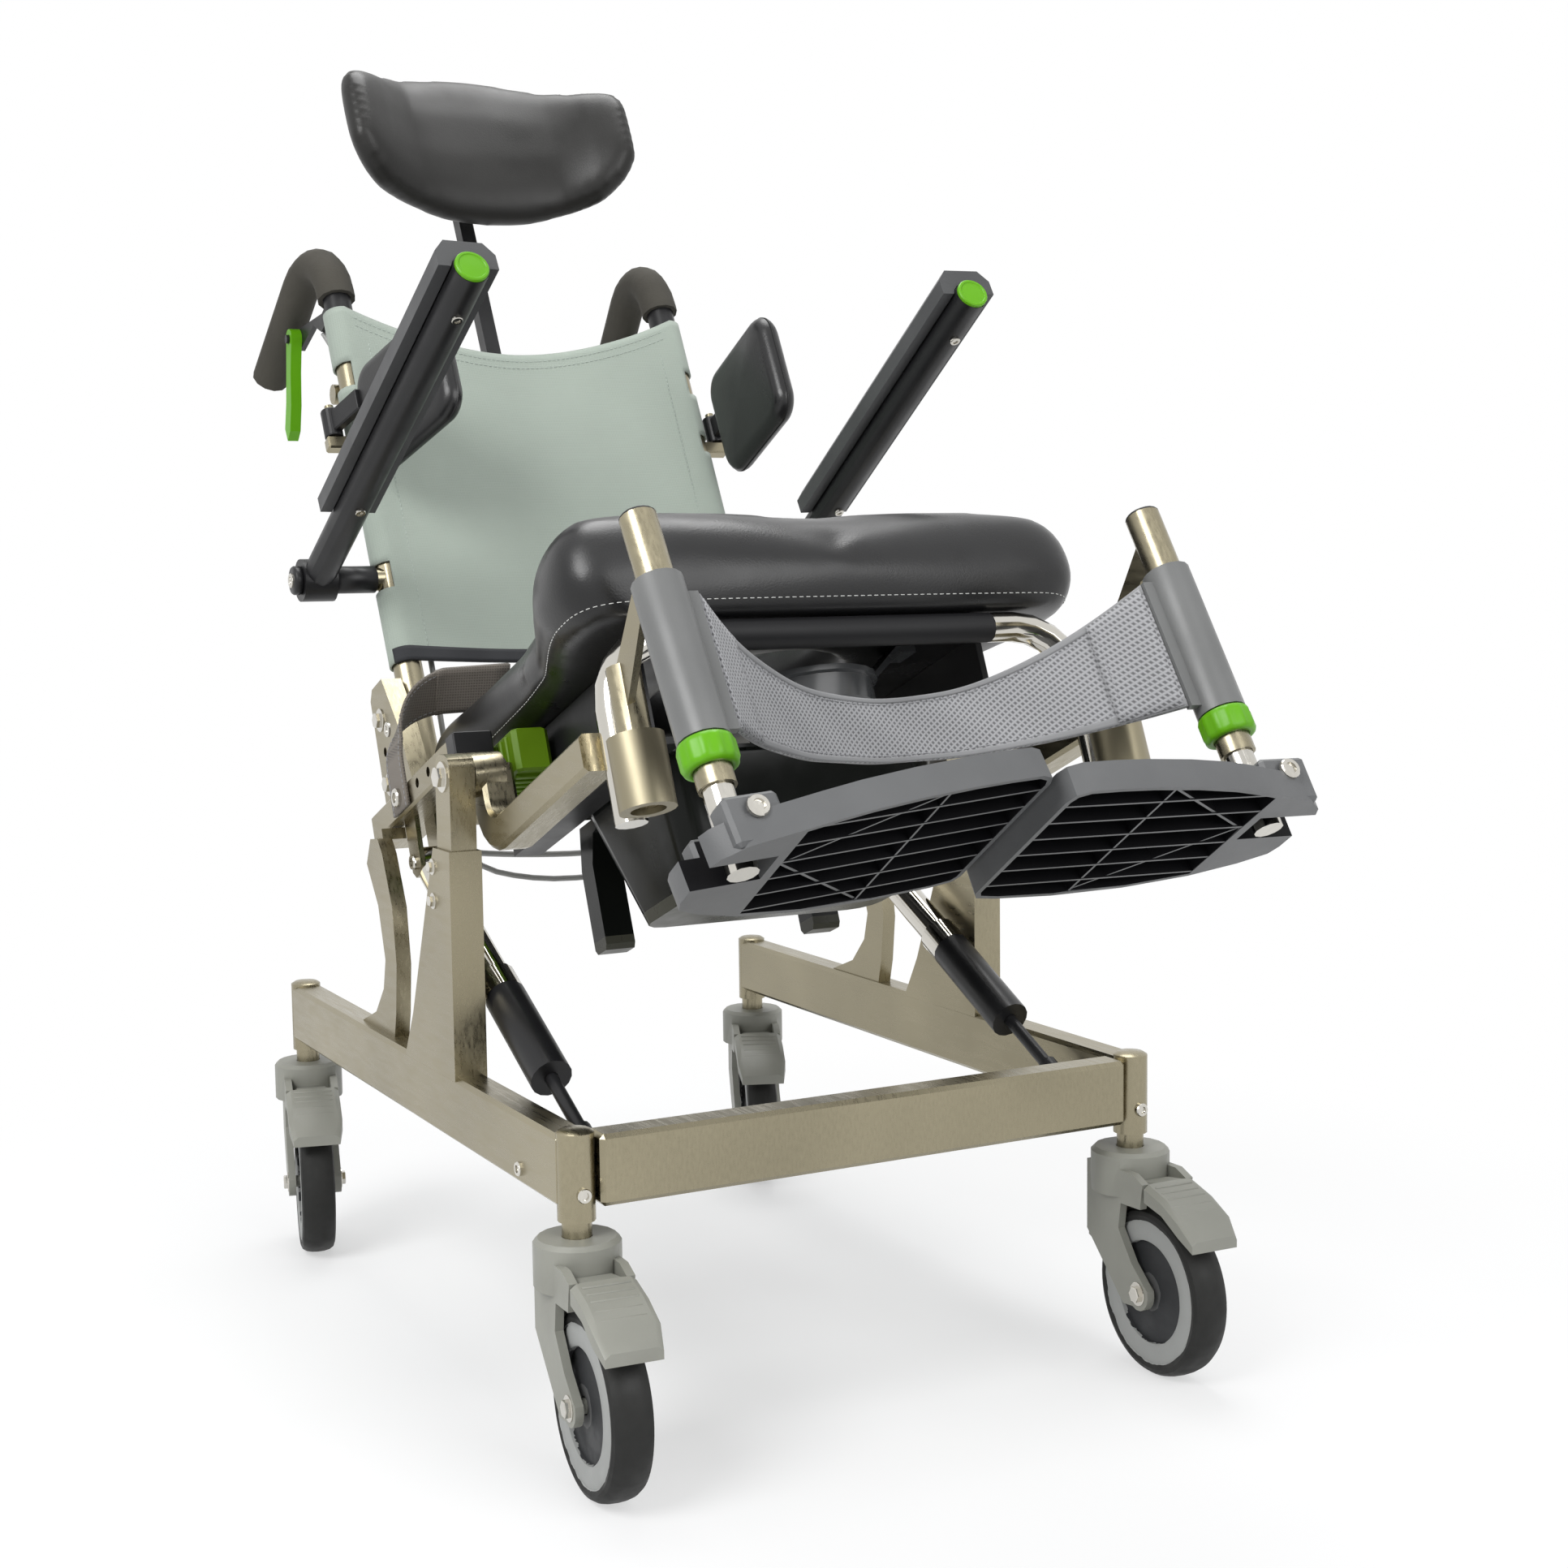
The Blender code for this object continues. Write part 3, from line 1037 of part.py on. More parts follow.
def legrest(side_name, side, tilt):
    """Hanger with its pin, plate and tube; calf sleeve; telescoping foot tube with the flip pin."""
    pin_y = HOOP_Y - COLLAR_REACH
    hanger = solid(rod(leg(0), leg(LEG_TUBE_LENGTH), LEG_TUBE_RADIUS, 16),
                   f"legrest_hanger_{side_name}", "steel",
                   tilt, side=side)
    root = HANGER_PIN_TOP - 0.003
    near = leg(SLEEVE_START - 0.004)
    far = leg(0.0128)
    arm = [(pin_y, root - 0.036), (pin_y, root), (far.y, far.z), (near.y, near.z),
           (near.y + SLEEVE_RADIUS + 0.003, near.z - 0.001)]
    middle = (HOOP_X + LEG_X) / 2
    add(hanger, plate(arm, middle - HANGER_PLATE / 2, middle + HANGER_PLATE / 2),
        rod((HOOP_X, pin_y, HANGER_PIN_FOOT), (HOOP_X, pin_y, HANGER_PIN_TOP),
            HANGER_PIN_RADIUS), side=side)
    cut(hanger, rod(leg(FOOT_TUBE_START - 0.040), leg(LEG_TUBE_LENGTH + 0.01), FOOT_TUBE_RADIUS + GAP),
        side=side)

    sleeve = solid(rod(leg(SLEEVE_START), leg(SLEEVE_START + SLEEVE_LENGTH), SLEEVE_RADIUS, 16,
                       LEG_TUBE_RADIUS + GAP), f"calf_sleeve_{side_name}", "dark_plastic", tilt, side=side)
    root_x = LEG_TUBE_RADIUS + 0.0022
    shift = Vector((-(root_x + SLEEVE_FIN) / 2, 0, 0))
    wide = (SLEEVE_FIN - root_x) / 2
    fin = [(wide, -0.003), (wide, 0.003), (-wide, 0.003), (-wide, -0.003)]
    add(sleeve,
        sweep([leg(SLEEVE_START + 0.008) + shift, leg(SLEEVE_START + SLEEVE_LENGTH - 0.006) + shift],
              fin),
        side=side)

    foot = solid(rod(leg(FOOT_TUBE_START), leg(FOOT_TUBE_END), FOOT_TUBE_RADIUS),
                 f"foot_tube_{side_name}", "chrome",
                 tilt, side=side)
    fore = Vector((0, -math.cos(PLATE_SLOPE), math.sin(PLATE_SLOPE)))
    add(foot, rod(leg(FLIP_AT) + fore * 0.039, leg(FLIP_AT) - fore * 0.034, FLIP_PIN_RADIUS), side=side)


def inset(outline, distance):
    """A counter-clockwise outline drawn in by a wall all round."""
    corners = [Vector(spot) for spot in outline]
    spots = []
    for here, corner in enumerate(corners):
        into = (corner - corners[here - 1]).normalized()
        out = (corners[(here + 1) % len(corners)] - corner).normalized()
        lean = Vector((-into.y - out.y, into.x + out.x))
        spots.append(corner + lean * distance / (1 + into.dot(out)))
    return spots


def crossings(outline, axis, level):
    """Pairs of a corner's index and the point where the edge into it crosses a level of one axis."""
    marks = []
    for here, spot in enumerate(outline):
        before = outline[here - 1]
        if (spot[axis] < level) != (before[axis] < level):
            share = (level - before[axis]) / (spot[axis] - before[axis])
            marks.append((here, Vector(before) + (Vector(spot) - Vector(before)) * share))
    return marks


def trimmed(outline, limit):
    """The part of an outline where x lies below a limit."""
    marks = dict(crossings(outline, 0, limit))
    spots = []
    for here, spot in enumerate(outline):
        if here in marks:
            spots.append(marks[here])
        if spot[0] < limit:
            spots.append(spot)
    return spots


def rib(ends, low, high):
    """A thin upright web whose ends run into the walls."""
    first, last = ends
    along = (last - first).normalized()
    across = Vector((-along.y, along.x)) * PLATE_RIB / 2
    first = first - along * PLATE_WALL / 2
    last = last + along * PLATE_WALL / 2
    return plate([first + across, first - across, last - across, last + across], low, high, "z")


def footplate_outline():
    """The right tray seen from above: bowed toe edge, rounded inner corners, rounded heel."""
    inner = -PLATE_INNER
    toe = -PLATE_TOE
    return [
        (inner + 0.004, PLATE_HEEL - 0.005),
        (inner, PLATE_HEEL - 0.012),
        (inner, toe + 0.014),
        (inner + 0.003, toe + 0.006),
        (inner + 0.012, toe + 0.001),
        (inner + 0.035, toe),
        (inner + 0.060, toe + 0.0005),
        (inner + 0.095, toe + 0.0035),
        (-0.0615, toe + 0.009),
        (-0.038, toe + 0.0155),
        (-0.018, toe + 0.022),
        (0.012, toe + 0.031),
        (PLATE_OUTER - 0.005, toe + 0.043),
        (PLATE_OUTER, toe + 0.054),
        (PLATE_OUTER, 0.030),
        (PLATE_OUTER - 0.003, 0.040),
        (0.010, 0.052),
        (-0.022, PLATE_HEEL - 0.015),
        (-0.070, PLATE_HEEL - 0.004),
        (-0.125, PLATE_HEEL),
        (inner + 0.020, PLATE_HEEL - 0.002),
    ]


def footplate(side_name, side, tilt):
    """Flip-up tray, hollow and ribbed below, with two cheeks on the flip pin beside the foot tube."""
    pivot = leg(FLIP_AT)
    hinge = axis_frame(f"flip_axis_{side_name}", (side * pivot.x, pivot.y, pivot.z), tilt,
                       turn_x=-PLATE_SLOPE)
    rest = axis_frame(f"flip_rest_{side_name}", (0, 0, 0), hinge,
                      turn_y=side * math.radians(FLIP_REST[side_name]))
    floor = PLATE_TOP - PLATE_DEEP
    skin_floor = PLATE_TOP - PLATE_SKIN
    outline = footplate_outline()
    tray = solid(plate(outline, floor, PLATE_TOP, "z"), f"footplate_{side_name}", "dark_plastic",
                 rest, side=side)
    notch = FOOT_TUBE_RADIUS + 0.0045
    notch_end = -FOOT_TUBE_RADIUS - 0.006
    cheek_in = notch + GAP
    add(tray, block((-0.018, -0.036, floor + 0.001), (0.019, -cheek_in, 0.011), 0.0025),
        block((-0.018, cheek_in, floor + 0.001), (0.019, 0.031, 0.011), 0.0025), side=side)
    hollow = trimmed(inset(outline, PLATE_WALL), notch_end - 2 * PLATE_WALL)
    cut(tray, plate(hollow, floor - 0.01, skin_floor, "z"), side=side)
    pitch = (PLATE_TOE + PLATE_HEEL) / (PLATE_RIBS + 1)
    rows = [crossings(hollow, 1, (k + 1) * pitch - PLATE_TOE) for k in range(PLATE_RIBS)]
    toe_mark, heel_mark = [mark for _, mark in crossings(hollow, 0, PLATE_BRACE)]
    hub = Vector((notch_end - 2 * PLATE_WALL, 0.0))
    step = PLATE_BRACE_STEP
    webs = [rib([mark for _, mark in row], floor + step, skin_floor + step) for row in rows]
    braces = ((toe_mark, heel_mark), (toe_mark, hub), (heel_mark, hub))
    for k, ends in enumerate(braces):
        webs.append(rib(ends, floor + (k + 2) * step, skin_floor + (k + 2) * step))
    add(tray, *webs, side=side)
    cut(tray,
        block((notch_end, -notch, floor - 0.02), (PLATE_OUTER + 0.02, notch, 0.03)),
        rod((0, -0.06, 0), (0, 0.06, 0), FLIP_PIN_RADIUS + PLAY), side=side)


def calf_strap(tilt):
    """Mesh band between the two sleeves, deep at the ends, narrow and bowed back at the middle."""
    end = LEG_X - SLEEVE_FIN - GAP
    anchor = leg(SLEEVE_START + SLEEVE_LENGTH / 2 + 0.001)
    down = (leg(1.0) - leg(0.0)).normalized()
    tall = SLEEVE_LENGTH / 2 - 0.008
    steps = 16
    rings = []
    for k in range(steps + 1):
        t = 2 * k / steps - 1
        ease = 1 - abs(t) ** 2.2
        slope = STRAP_BOW * 2.2 * abs(t) ** 1.2 * math.copysign(1, -t) / end if 0 < k < steps else 0.0
        out = Vector((-slope, 1, 0)).normalized() * STRAP_THICK / 2
        hang = (down * abs(t) + Vector((0, 0, -1)) * (1 - abs(t))).normalized()
        half = tall - (tall - 0.0225) * ease
        centre = Vector((end * t, anchor.y + STRAP_BOW * ease, anchor.z - 0.024 * ease))
        rings.append([centre + hang * half + out, centre - hang * half + out,
                      centre - hang * half - out,
                      centre + hang * half - out])
    solid(loft(rings), "calf_strap", "mesh_fabric", tilt)


def hip_belt(tilt):
    """The left half of the hip belt, from its anchor on the seat bar up over the cushion."""
    out = BAR_OUTER + GAP + BELT_THICK / 2
    over = CUSHION_TOP + 0.004 + BELT_THICK / 2
    path = rounded([(out, BELT_Y, BAR_FLOOR + 0.002), (out, BELT_Y, over - 0.010),
                    (CUSHION_HALF - 0.010, BELT_Y, over),
                    (BELT_END, BELT_Y, over)], 0.018, 5)
    half = BELT_WIDTH / 2
    thick = BELT_THICK / 2
    solid(sweep(path, [(half, -thick), (half, thick), (-half, thick), (-half, -thick)], (0, 1, 0)),
          "hip_belt",
          "webbing", tilt, side=-1)


def smooth(points, steps):
    """Points of a smooth curve through a route."""
    route = [Vector(p) for p in points]
    route = [route[0] * 2 - route[1]] + route + [route[-1] * 2 - route[-2]]
    found = []
    for a, b, c, d in zip(route, route[1:], route[2:], route[3:]):
        for k in range(steps):
            t = k / steps
            found.append(0.5 * (2 * b + (c - a) * t + (2 * a - 5 * b + 4 * c - d) * t * t
                                + (3 * b - a - 3 * c + d) * t ** 3))
    found.append(route[-2])
    return found


def cable(name, points, tilt):
    """A release cable along its route."""
    line = bpy.data.curves.new(name, "CURVE")
    line.dimensions = "3D"
    line.bevel_depth = CABLE_RADIUS
    line.bevel_resolution = 2
    line.use_fill_caps = True
    spline = line.splines.new("POLY")
    path = smooth(points, 2)
    spline.points.add(len(path) - 1)
    for spot, place in zip(spline.points, path):
        spot.co = (*place, 1.0)
    item = bpy.data.objects.new(name, line)
    bpy.context.scene.collection.objects.link(item)
    line.materials.append(finish("black_plastic"))
    item.parent = tilt


CABLE_DROP = [(0.166, 0.3079, 0.5163), (0.158, 0.3029, 0.4951), (0.147, 0.2915, 0.4811),
              (0.139, 0.2749, 0.4645),
              (0.138, 0.2675, 0.4281), (0.137, 0.2574, 0.3085), (0.136, 0.2484, 0.1788)]
LEFT_RUN = [(0.130, 0.262, 0.080), (0.118, 0.280, 0.012), (0.060, 0.290, -0.010),
            (-0.020, 0.282, -0.014),
            (-0.090, 0.252, -0.010), (-0.150, 0.214, -0.004), (-0.1823, 0.184, -0.004)]
RIGHT_RUN = [(0.130, 0.266, 0.090), (0.112, 0.268, 0.022), (0.050, 0.262, 0.004),
             (-0.020, 0.256, 0.000),
             (-0.090, 0.236, -0.002), (-0.150, 0.206, -0.004), (-0.1823, 0.184, -0.004)]


def build():
    clear_scene()
    front_crossbar()
    for side_name, side in SIDES:
        side_frame(side_name, side)
        height_post(side_name, side)
        gas_spring(side_name, side)
        caster("f" + side_name[0], side * HALF_TRACK, -HALF_BASE)
        caster("r" + side_name[0], side * HALF_TRACK, HALF_BASE)
    tilt = axis_frame("tilt_axis", (0, AXIS_Y, AXIS_Z), turn_x=-TILT)
    back = axis_frame("back_frame", (0, BACK_FOOT_Y, BACK_FOOT_Z), tilt, turn_x=-BACK_LEAN)
    for side_name, side in SIDES:
        seat_side(side_name, side, tilt)
        front_tube(side_name, side, tilt)
        pan_rail(side_name, side, tilt)
        legrest(side_name, side, tilt)
        footplate(side_name, side, tilt)
        back_post(side_name, side, back)
        release_lever(side_name, side, back)
        lateral_pad(side_name, side, back)
        armrest(side_name, side, back)
    front_hoop(tilt)
    rear_cross_tube(tilt)
    seat_cushion(tilt)
    commode_pan(tilt)
    splash_cup(tilt)
    calf_strap(tilt)
    hip_belt(tilt)
    back_crossbar(back)
    back_sling(back)
    headrest(back)
    cable("release_cable_left", [(-x, y, z) for x, y, z in CABLE_DROP + LEFT_RUN], tilt)
    cable("release_cable_right", CABLE_DROP + RIGHT_RUN, tilt)


build()
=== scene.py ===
"""Looks of the tilting shower chair: camera, studio, finishes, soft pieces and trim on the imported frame."""

import json
import math

import bmesh
import bpy
from mathutils import Matrix, Vector
from mathutils.bvhtree import BVHTree

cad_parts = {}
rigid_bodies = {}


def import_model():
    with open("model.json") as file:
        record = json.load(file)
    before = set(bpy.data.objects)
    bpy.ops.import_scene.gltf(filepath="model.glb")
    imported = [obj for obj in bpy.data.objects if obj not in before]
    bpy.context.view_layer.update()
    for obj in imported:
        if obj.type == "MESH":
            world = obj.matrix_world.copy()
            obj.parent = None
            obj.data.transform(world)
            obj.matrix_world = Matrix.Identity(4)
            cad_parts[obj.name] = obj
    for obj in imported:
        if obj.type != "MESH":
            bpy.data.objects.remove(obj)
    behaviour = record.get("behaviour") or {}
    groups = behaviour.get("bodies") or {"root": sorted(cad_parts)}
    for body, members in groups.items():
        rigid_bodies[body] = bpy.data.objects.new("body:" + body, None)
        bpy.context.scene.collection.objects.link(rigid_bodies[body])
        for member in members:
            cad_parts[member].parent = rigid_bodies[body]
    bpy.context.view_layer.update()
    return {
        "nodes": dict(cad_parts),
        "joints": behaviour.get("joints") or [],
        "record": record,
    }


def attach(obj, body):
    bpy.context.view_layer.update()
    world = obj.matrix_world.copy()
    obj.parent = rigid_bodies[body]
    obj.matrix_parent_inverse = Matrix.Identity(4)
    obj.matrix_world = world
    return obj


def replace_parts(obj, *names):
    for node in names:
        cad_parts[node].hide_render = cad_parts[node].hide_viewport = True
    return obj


for item in list(bpy.data.objects):
    bpy.data.objects.remove(item, do_unlink=True)

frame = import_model()
NODES = frame["nodes"]
PINS = {joint["name"]: Vector(joint["pos_m"]) for joint in frame["joints"] if "pos_m" in joint}
AXES = {joint["name"]: Vector(joint["axis"]) for joint in frame["joints"]}
SIDES = (("left", -1), ("right", 1))
CORNERS = ("fl", "fr", "rl", "rr")

# Camera of the photograph
CAMERA_PLACE = Vector((-0.7776, -1.639, 0.5972))
CAMERA_AZIMUTH = math.radians(-28.1175)
CAMERA_ELEVATION = math.radians(5.5951)
CAMERA_ROLL = math.radians(-0.7203)
CAMERA_LENS = 51.604
CAMERA_SENSOR = 36.0
CAMERA_NEAR = 0.02

# Frames of the seat, back, arms and legs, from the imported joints
ACROSS = Vector((1, 0, 0))
REARWARD = Vector((0, 1, 0))
UP = Vector((0, 0, 1))
BACK_FOOT = Vector((0, 0.2285, 0.030))
ARM_RISE = math.radians(4.96)


def placed(origin, rearward):
    """Frame at a point whose Y axis is a rearward direction square to X."""
    y = Vector(rearward).normalized()
    turned = Matrix((ACROSS, y, ACROSS.cross(y))).transposed().to_4x4()
    return Matrix.Translation(Vector(origin)) @ turned


SEAT = placed(PINS["seat_tilt"], AXES["pan_slide"])
BACK = placed(SEAT @ BACK_FOOT, AXES["headrest_height"].cross(ACROSS))
SEAT_UP = (SEAT.to_3x3() @ UP).normalized()
SEAT_REARWARD = (SEAT.to_3x3() @ REARWARD).normalized()
BACK_UP = (BACK.to_3x3() @ UP).normalized()
LEG_DOWN = AXES["foot_length_left"]
ARMS = {name: Matrix.Translation(PINS[f"arm_flip_{name}"])
        @ BACK.to_3x3().to_4x4() @ Matrix.Rotation(-ARM_RISE, 4, "X") for name, _ in SIDES}


def linked(name, data):
    thing = bpy.data.objects.new(name, data)
    bpy.context.scene.collection.objects.link(thing)
    return thing


def add_camera():
    flat = math.cos(CAMERA_ELEVATION)
    back = Vector((math.sin(CAMERA_AZIMUTH) * flat, -math.cos(CAMERA_AZIMUTH) * flat,
                   math.sin(CAMERA_ELEVATION)))
    right = Vector((math.cos(CAMERA_AZIMUTH), math.sin(CAMERA_AZIMUTH), 0))
    turn = Matrix((right, back.cross(right), back)).transposed() @ Matrix.Rotation(CAMERA_ROLL, 3, "Z")
    data = bpy.data.cameras.new("photo_camera")
    data.lens = CAMERA_LENS
    data.sensor_width = CAMERA_SENSOR
    data.clip_start = CAMERA_NEAR
    camera = linked("photo_camera", data)
    camera.matrix_world = Matrix.Translation(CAMERA_PLACE) @ turn.to_4x4()
    bpy.context.scene.camera = camera


# Studio
WHITE = (1, 1, 1, 1)
SKY_COLOR = (0.94, 0.97, 1, 1)
SKY_LEVEL = 0.42
FLOOR_REACH = 9.0
FLOOR_COLOR = (0.90, 0.90, 0.90, 1)
FLOOR_FADE_NEAR = 0.25
FLOOR_FADE_FAR = 0.95
FLOOR_GLOW = 0.45
# Place, aim, size and power of each lamp
LAMPS = {
    "key": ((-2.1, -1.1, 2.2), (0, 0, 0.5), 1.6, 58),
    "fill": ((0.5, -2.3, 1.6), (0, 0, 0.5), 1.8, 24),
    "top": ((0.3, 0.6, 2.6), (0, 0.1, 0.6), 1.6, 34),
}


def feed(tree, socket, value):
    """Fills an input with a value or links it to another node's output."""
    if isinstance(value, bpy.types.NodeSocket):
        tree.links.new(value, socket)
    else:
        socket.default_value = value


def add_node(tree, kind, *feeds, operation=None, inputs=None):
    """Shader node whose inputs are fed in order or by name."""
    node = tree.nodes.new("ShaderNode" + kind)
    if operation:
        node.operation = operation
    for socket, value in zip(node.inputs, feeds):
        feed(tree, socket, value)
    for name, value in (inputs or {}).items():
        feed(tree, node.inputs[name], value)
    return node


def seen_directly(tree):
    """One where a camera, mirror or glass ray looks, zero for the light that falls on the object."""
    path = add_node(tree, "LightPath").outputs
    seen = path["Is Camera Ray"]
    for ray in ("Is Glossy Ray", "Is Transmission Ray"):
        seen = add_node(tree, "Math", seen, path[ray], operation="MAXIMUM").outputs[0]
    return seen


def add_world():
    world = bpy.data.worlds.new("studio")
    bpy.context.scene.world = world
    world.use_nodes = True
    tree = world.node_tree
    tree.nodes.clear()
    seen = add_node(tree, "Background", WHITE)
    lit = add_node(tree, "Background", SKY_COLOR, SKY_LEVEL)
    mix = add_node(tree, "MixShader", seen_directly(tree), lit.outputs[0], seen.outputs[0])
    add_node(tree, "OutputWorld", mix.outputs[0])


def add_floor():
    """Pale floor that holds the shadow near the chair and runs out to the white of the background."""
    edge = FLOOR_REACH
    corners = [(-edge, -edge, 0), (edge, -edge, 0), (edge, edge, 0), (-edge, edge, 0)]
    floor = linked("floor", mesh_of("floor", corners, [(0, 1, 2, 3)]))
    look = bpy.data.materials.new("floor")
    look.use_nodes = True
    tree = look.node_tree
    tree.nodes.clear()
    paint = add_node(tree, "BsdfDiffuse", FLOOR_COLOR)
    glow = add_node(tree, "Emission", WHITE)
    place = add_node(tree, "NewGeometry").outputs["Position"]
    far = add_node(tree, "VectorMath", place, operation="LENGTH").outputs["Value"]
    fade = add_node(tree, "MapRange", far, FLOOR_FADE_NEAR, FLOOR_FADE_FAR, FLOOR_GLOW)
    share = add_node(tree, "Math", fade.outputs["Result"], seen_directly(tree), operation="MULTIPLY")
    mix = add_node(tree, "MixShader", share.outputs[0], paint.outputs[0], glow.outputs[0])
    add_node(tree, "OutputMaterial", mix.outputs[0])
    floor.data.materials.append(look)


def add_studio():
    add_world()
    add_floor()
    for name, (place, aim, size, power) in LAMPS.items():
        data = bpy.data.lights.new(name, "AREA")
        data.shape = "DISK"
        data.size = size
        data.energy = power
        lamp = linked(name, data)
        lamp.location = place
        lamp.rotation_euler = (Vector(aim) - Vector(place)).to_track_quat("-Z", "Y").to_euler()


# Finishes
LOOKS = {}
NOISE_SPAN = (0.3, 0.7)
WAVE_SCALE = math.tau / 20
STEEL = (0.315, 0.282, 0.196)
CHROME = (0.60, 0.58, 0.53)
BLACK = (0.009, 0.009, 0.010)
SMOKE = (0.007, 0.008, 0.007)
# Lighter colour for the pan's bottom edge: painted light showing through the translucent plastic
SMOKE_GLOW_EDGE = (0.060, 0.060, 0.046)
METAL_STREAK = (1, 0.06, 0.35)
METAL_STREAK_SHARE = 0.3
METAL_SPREAD = 0.17
METAL_DEPTH = 0.00006
PLASTIC_ROUGH_SPREAD = 0.07
FABRIC_ROUGH = 0.86
FABRIC_RUMPLE = 0.0006
VINYL_SPREAD = 0.20
VINYL_RUMPLE = 0.0004
VINYL_GRAIN = 780.0
VINYL_GRAIN_DEPTH = 0.00012
WEAVE_TURN = (0, math.radians(38), 0)
WHEEL_RADIUS = 0.0625
WHEEL_GRIME = 0.012
WHEEL_DARK = (0.04, 0.04, 0.04)
# Share of the wheel's radius where each colour starts: axle, hub cover, rim, tyre
WHEEL_RINGS = ((0.0, (0.10, 0.10, 0.10)), (0.22, (0.032, 0.033, 0.035)),
               (0.60, (0.33, 0.335, 0.325)), (0.84, (0.018, 0.018, 0.017)))
SPRING_SLEEVE_END = 0.182
POST_BARE_END = 0.486
# Half width of the black middle of the hoop's front bar: the black guide parts there and painted shade
HOOP_DARK_HALF = 0.118
SOCKET_BACK = -0.2178
PAN_EDGE = 0.010
PAN_SHINE = 0.15
# Colour, roughness, grain per metre, depth of the grain, spread of the colour and shine
PLASTICS = {
    "caster_plastic": ((0.255, 0.255, 0.222), 0.46, 700.0, 0.00012, 0.10, 0.5),
    "black_plastic": (BLACK, 0.40, 900.0, 0.0001, 0.2, 0.35),
    "plate_plastic": ((0.105, 0.107, 0.109), 0.46, 800.0, 0.00015, 0.12, 0.4),
    "arm_plastic": ((0.055, 0.056, 0.058), 0.44, 1100.0, 0.00012, 0.12, 0.4),
    "sleeve_plastic": ((0.150, 0.152, 0.150), 0.40, 700.0, 0.00012, 0.10, 0.4),
    "lime": ((0.110, 0.355, 0.003), 0.40, 600.0, 0.00006, 0.05, 0.3),
    "clip_lime": ((0.105, 0.205, 0.003), 0.45, 600.0, 0.00006, 0.10, 0.3),
    "cup_plastic": ((0.050, 0.052, 0.054), 0.26, 300.0, 0.00005, 0.12, 0.5),
    "foam": ((0.055, 0.051, 0.042), 0.88, 420.0, 0.0004, 0.16, 0.3),
    "cable_skin": ((0.30, 0.30, 0.29), 0.42, 500.0, 0.00004, 0.08, 0.5),
    "thread": ((0.62, 0.62, 0.60), 0.80, 900.0, 0.0001, 0.10, 0.5),
    "binding": ((0.030, 0.031, 0.034), 0.80, 1200.0, 0.00012, 0.15, 0.3),
    # Black for painted shade inside the hollow footplates
    "shadow_plastic": ((0.004, 0.004, 0.005), 0.60, 600.0, 0.0001, 0.2, 0.15),
    "sling_thread": ((0.40, 0.45, 0.41), 0.8, 900.0, 0.0001, 0.08, 0.5),
    "strap_thread": ((0.30, 0.30, 0.31), 0.8, 900.0, 0.0001, 0.08, 0.5),
    "strap_edge": ((0.235, 0.236, 0.240), 0.8, 1200.0, 0.00012, 0.12, 0.5),
}


class Surface:
    """A procedural finish built on one principled shader, in object coordinates (metres)."""

    def __init__(self, name, color, rough, metal=0.0, shine=0.5):
        material = bpy.data.materials.new(name)
        material.use_nodes = True
        LOOKS[name] = material
        self.tree = material.node_tree
        self.shader = self.tree.nodes["Principled BSDF"]
        self.color = color
        self.set("Base Color", (*color, 1))
        self.set("Roughness", rough)
        self.set("Metallic", metal)
        self.set("Specular IOR Level", shine)
        self.place = self.node("TexCoord").outputs["Object"]
        self.relief = None

    def set(self, socket, value):
        feed(self.tree, self.shader.inputs[socket], value)

    def node(self, kind, *feeds, **options):
        return add_node(self.tree, kind, *feeds, **options)

    def stretched(self, scale, turn=(0, 0, 0)):
        return self.node("Mapping", self.place, inputs={"Scale": scale, "Rotation": turn}).outputs[0]

    def noise(self, scale, detail=3.0, place=None):
        fed = {"Vector": place or self.place, "Scale": scale, "Detail": detail}
        return self.node("TexNoise", inputs=fed).outputs["Fac"]

    def cells(self, scale):
        node = self.node("TexVoronoi", inputs={"Vector": self.place, "Scale": scale})
        node.feature = "SMOOTH_F1"
        return node.outputs["Distance"]

    def ribs(self, pitch, direction, turn):
        node = self.node("TexWave", self.stretched((1, 1, 1), turn), WAVE_SCALE / pitch)
        node.bands_direction = direction
        return node.outputs["Fac"]

    def math(self, operation, *values):
        return self.node("Math", *values, operation=operation).outputs[0]

    def vector(self, operation, *values):
        return self.node("VectorMath", *values, operation=operation).outputs

    def blend(self, first, second, share):
        """Sum of two values, with a share for the second and the rest for the first."""
        return self.math("ADD", self.math("MULTIPLY", first, 1 - share), self.math("MULTIPLY", second, share))

    def mapped(self, value, low, high, start=0.0, end=1.0):
        return self.node("MapRange", value, start, end, low, high).outputs["Result"]

    def ramp(self, value, *stops, constant=False):
        node = self.node("ValToRGB", value)
        if constant:
            node.color_ramp.interpolation = "CONSTANT"
        while len(node.color_ramp.elements) < len(stops):
            node.color_ramp.elements.new(1.0)
        for element, (where, color) in zip(node.color_ramp.elements, stops):
            element.position = where
            element.color = (*color, 1)
        return node.outputs["Color"]

    def wear(self, value, low, high):
        """Roughness that varies between two values."""
        self.set("Roughness", self.mapped(value, low, high, *NOISE_SPAN))

    def shade(self, value, spread, start=NOISE_SPAN[0], end=NOISE_SPAN[1]):
        """Colour that varies by a share about its own value."""
        dark = [c * (1 - spread) for c in self.color]
        pale = [min(c * (1 + spread), 1) for c in self.color]
        self.set("Base Color", self.ramp(value, (start, dark), (end, pale)))

    def bump(self, height, depth, strength):
        """Relief on top of the relief given before."""
        fed = {"Strength": strength, "Distance": depth, "Height": height}
        if self.relief:
            fed["Normal"] = self.relief
        self.relief = self.node("Bump", inputs=fed).outputs[0]
        self.set("Normal", self.relief)


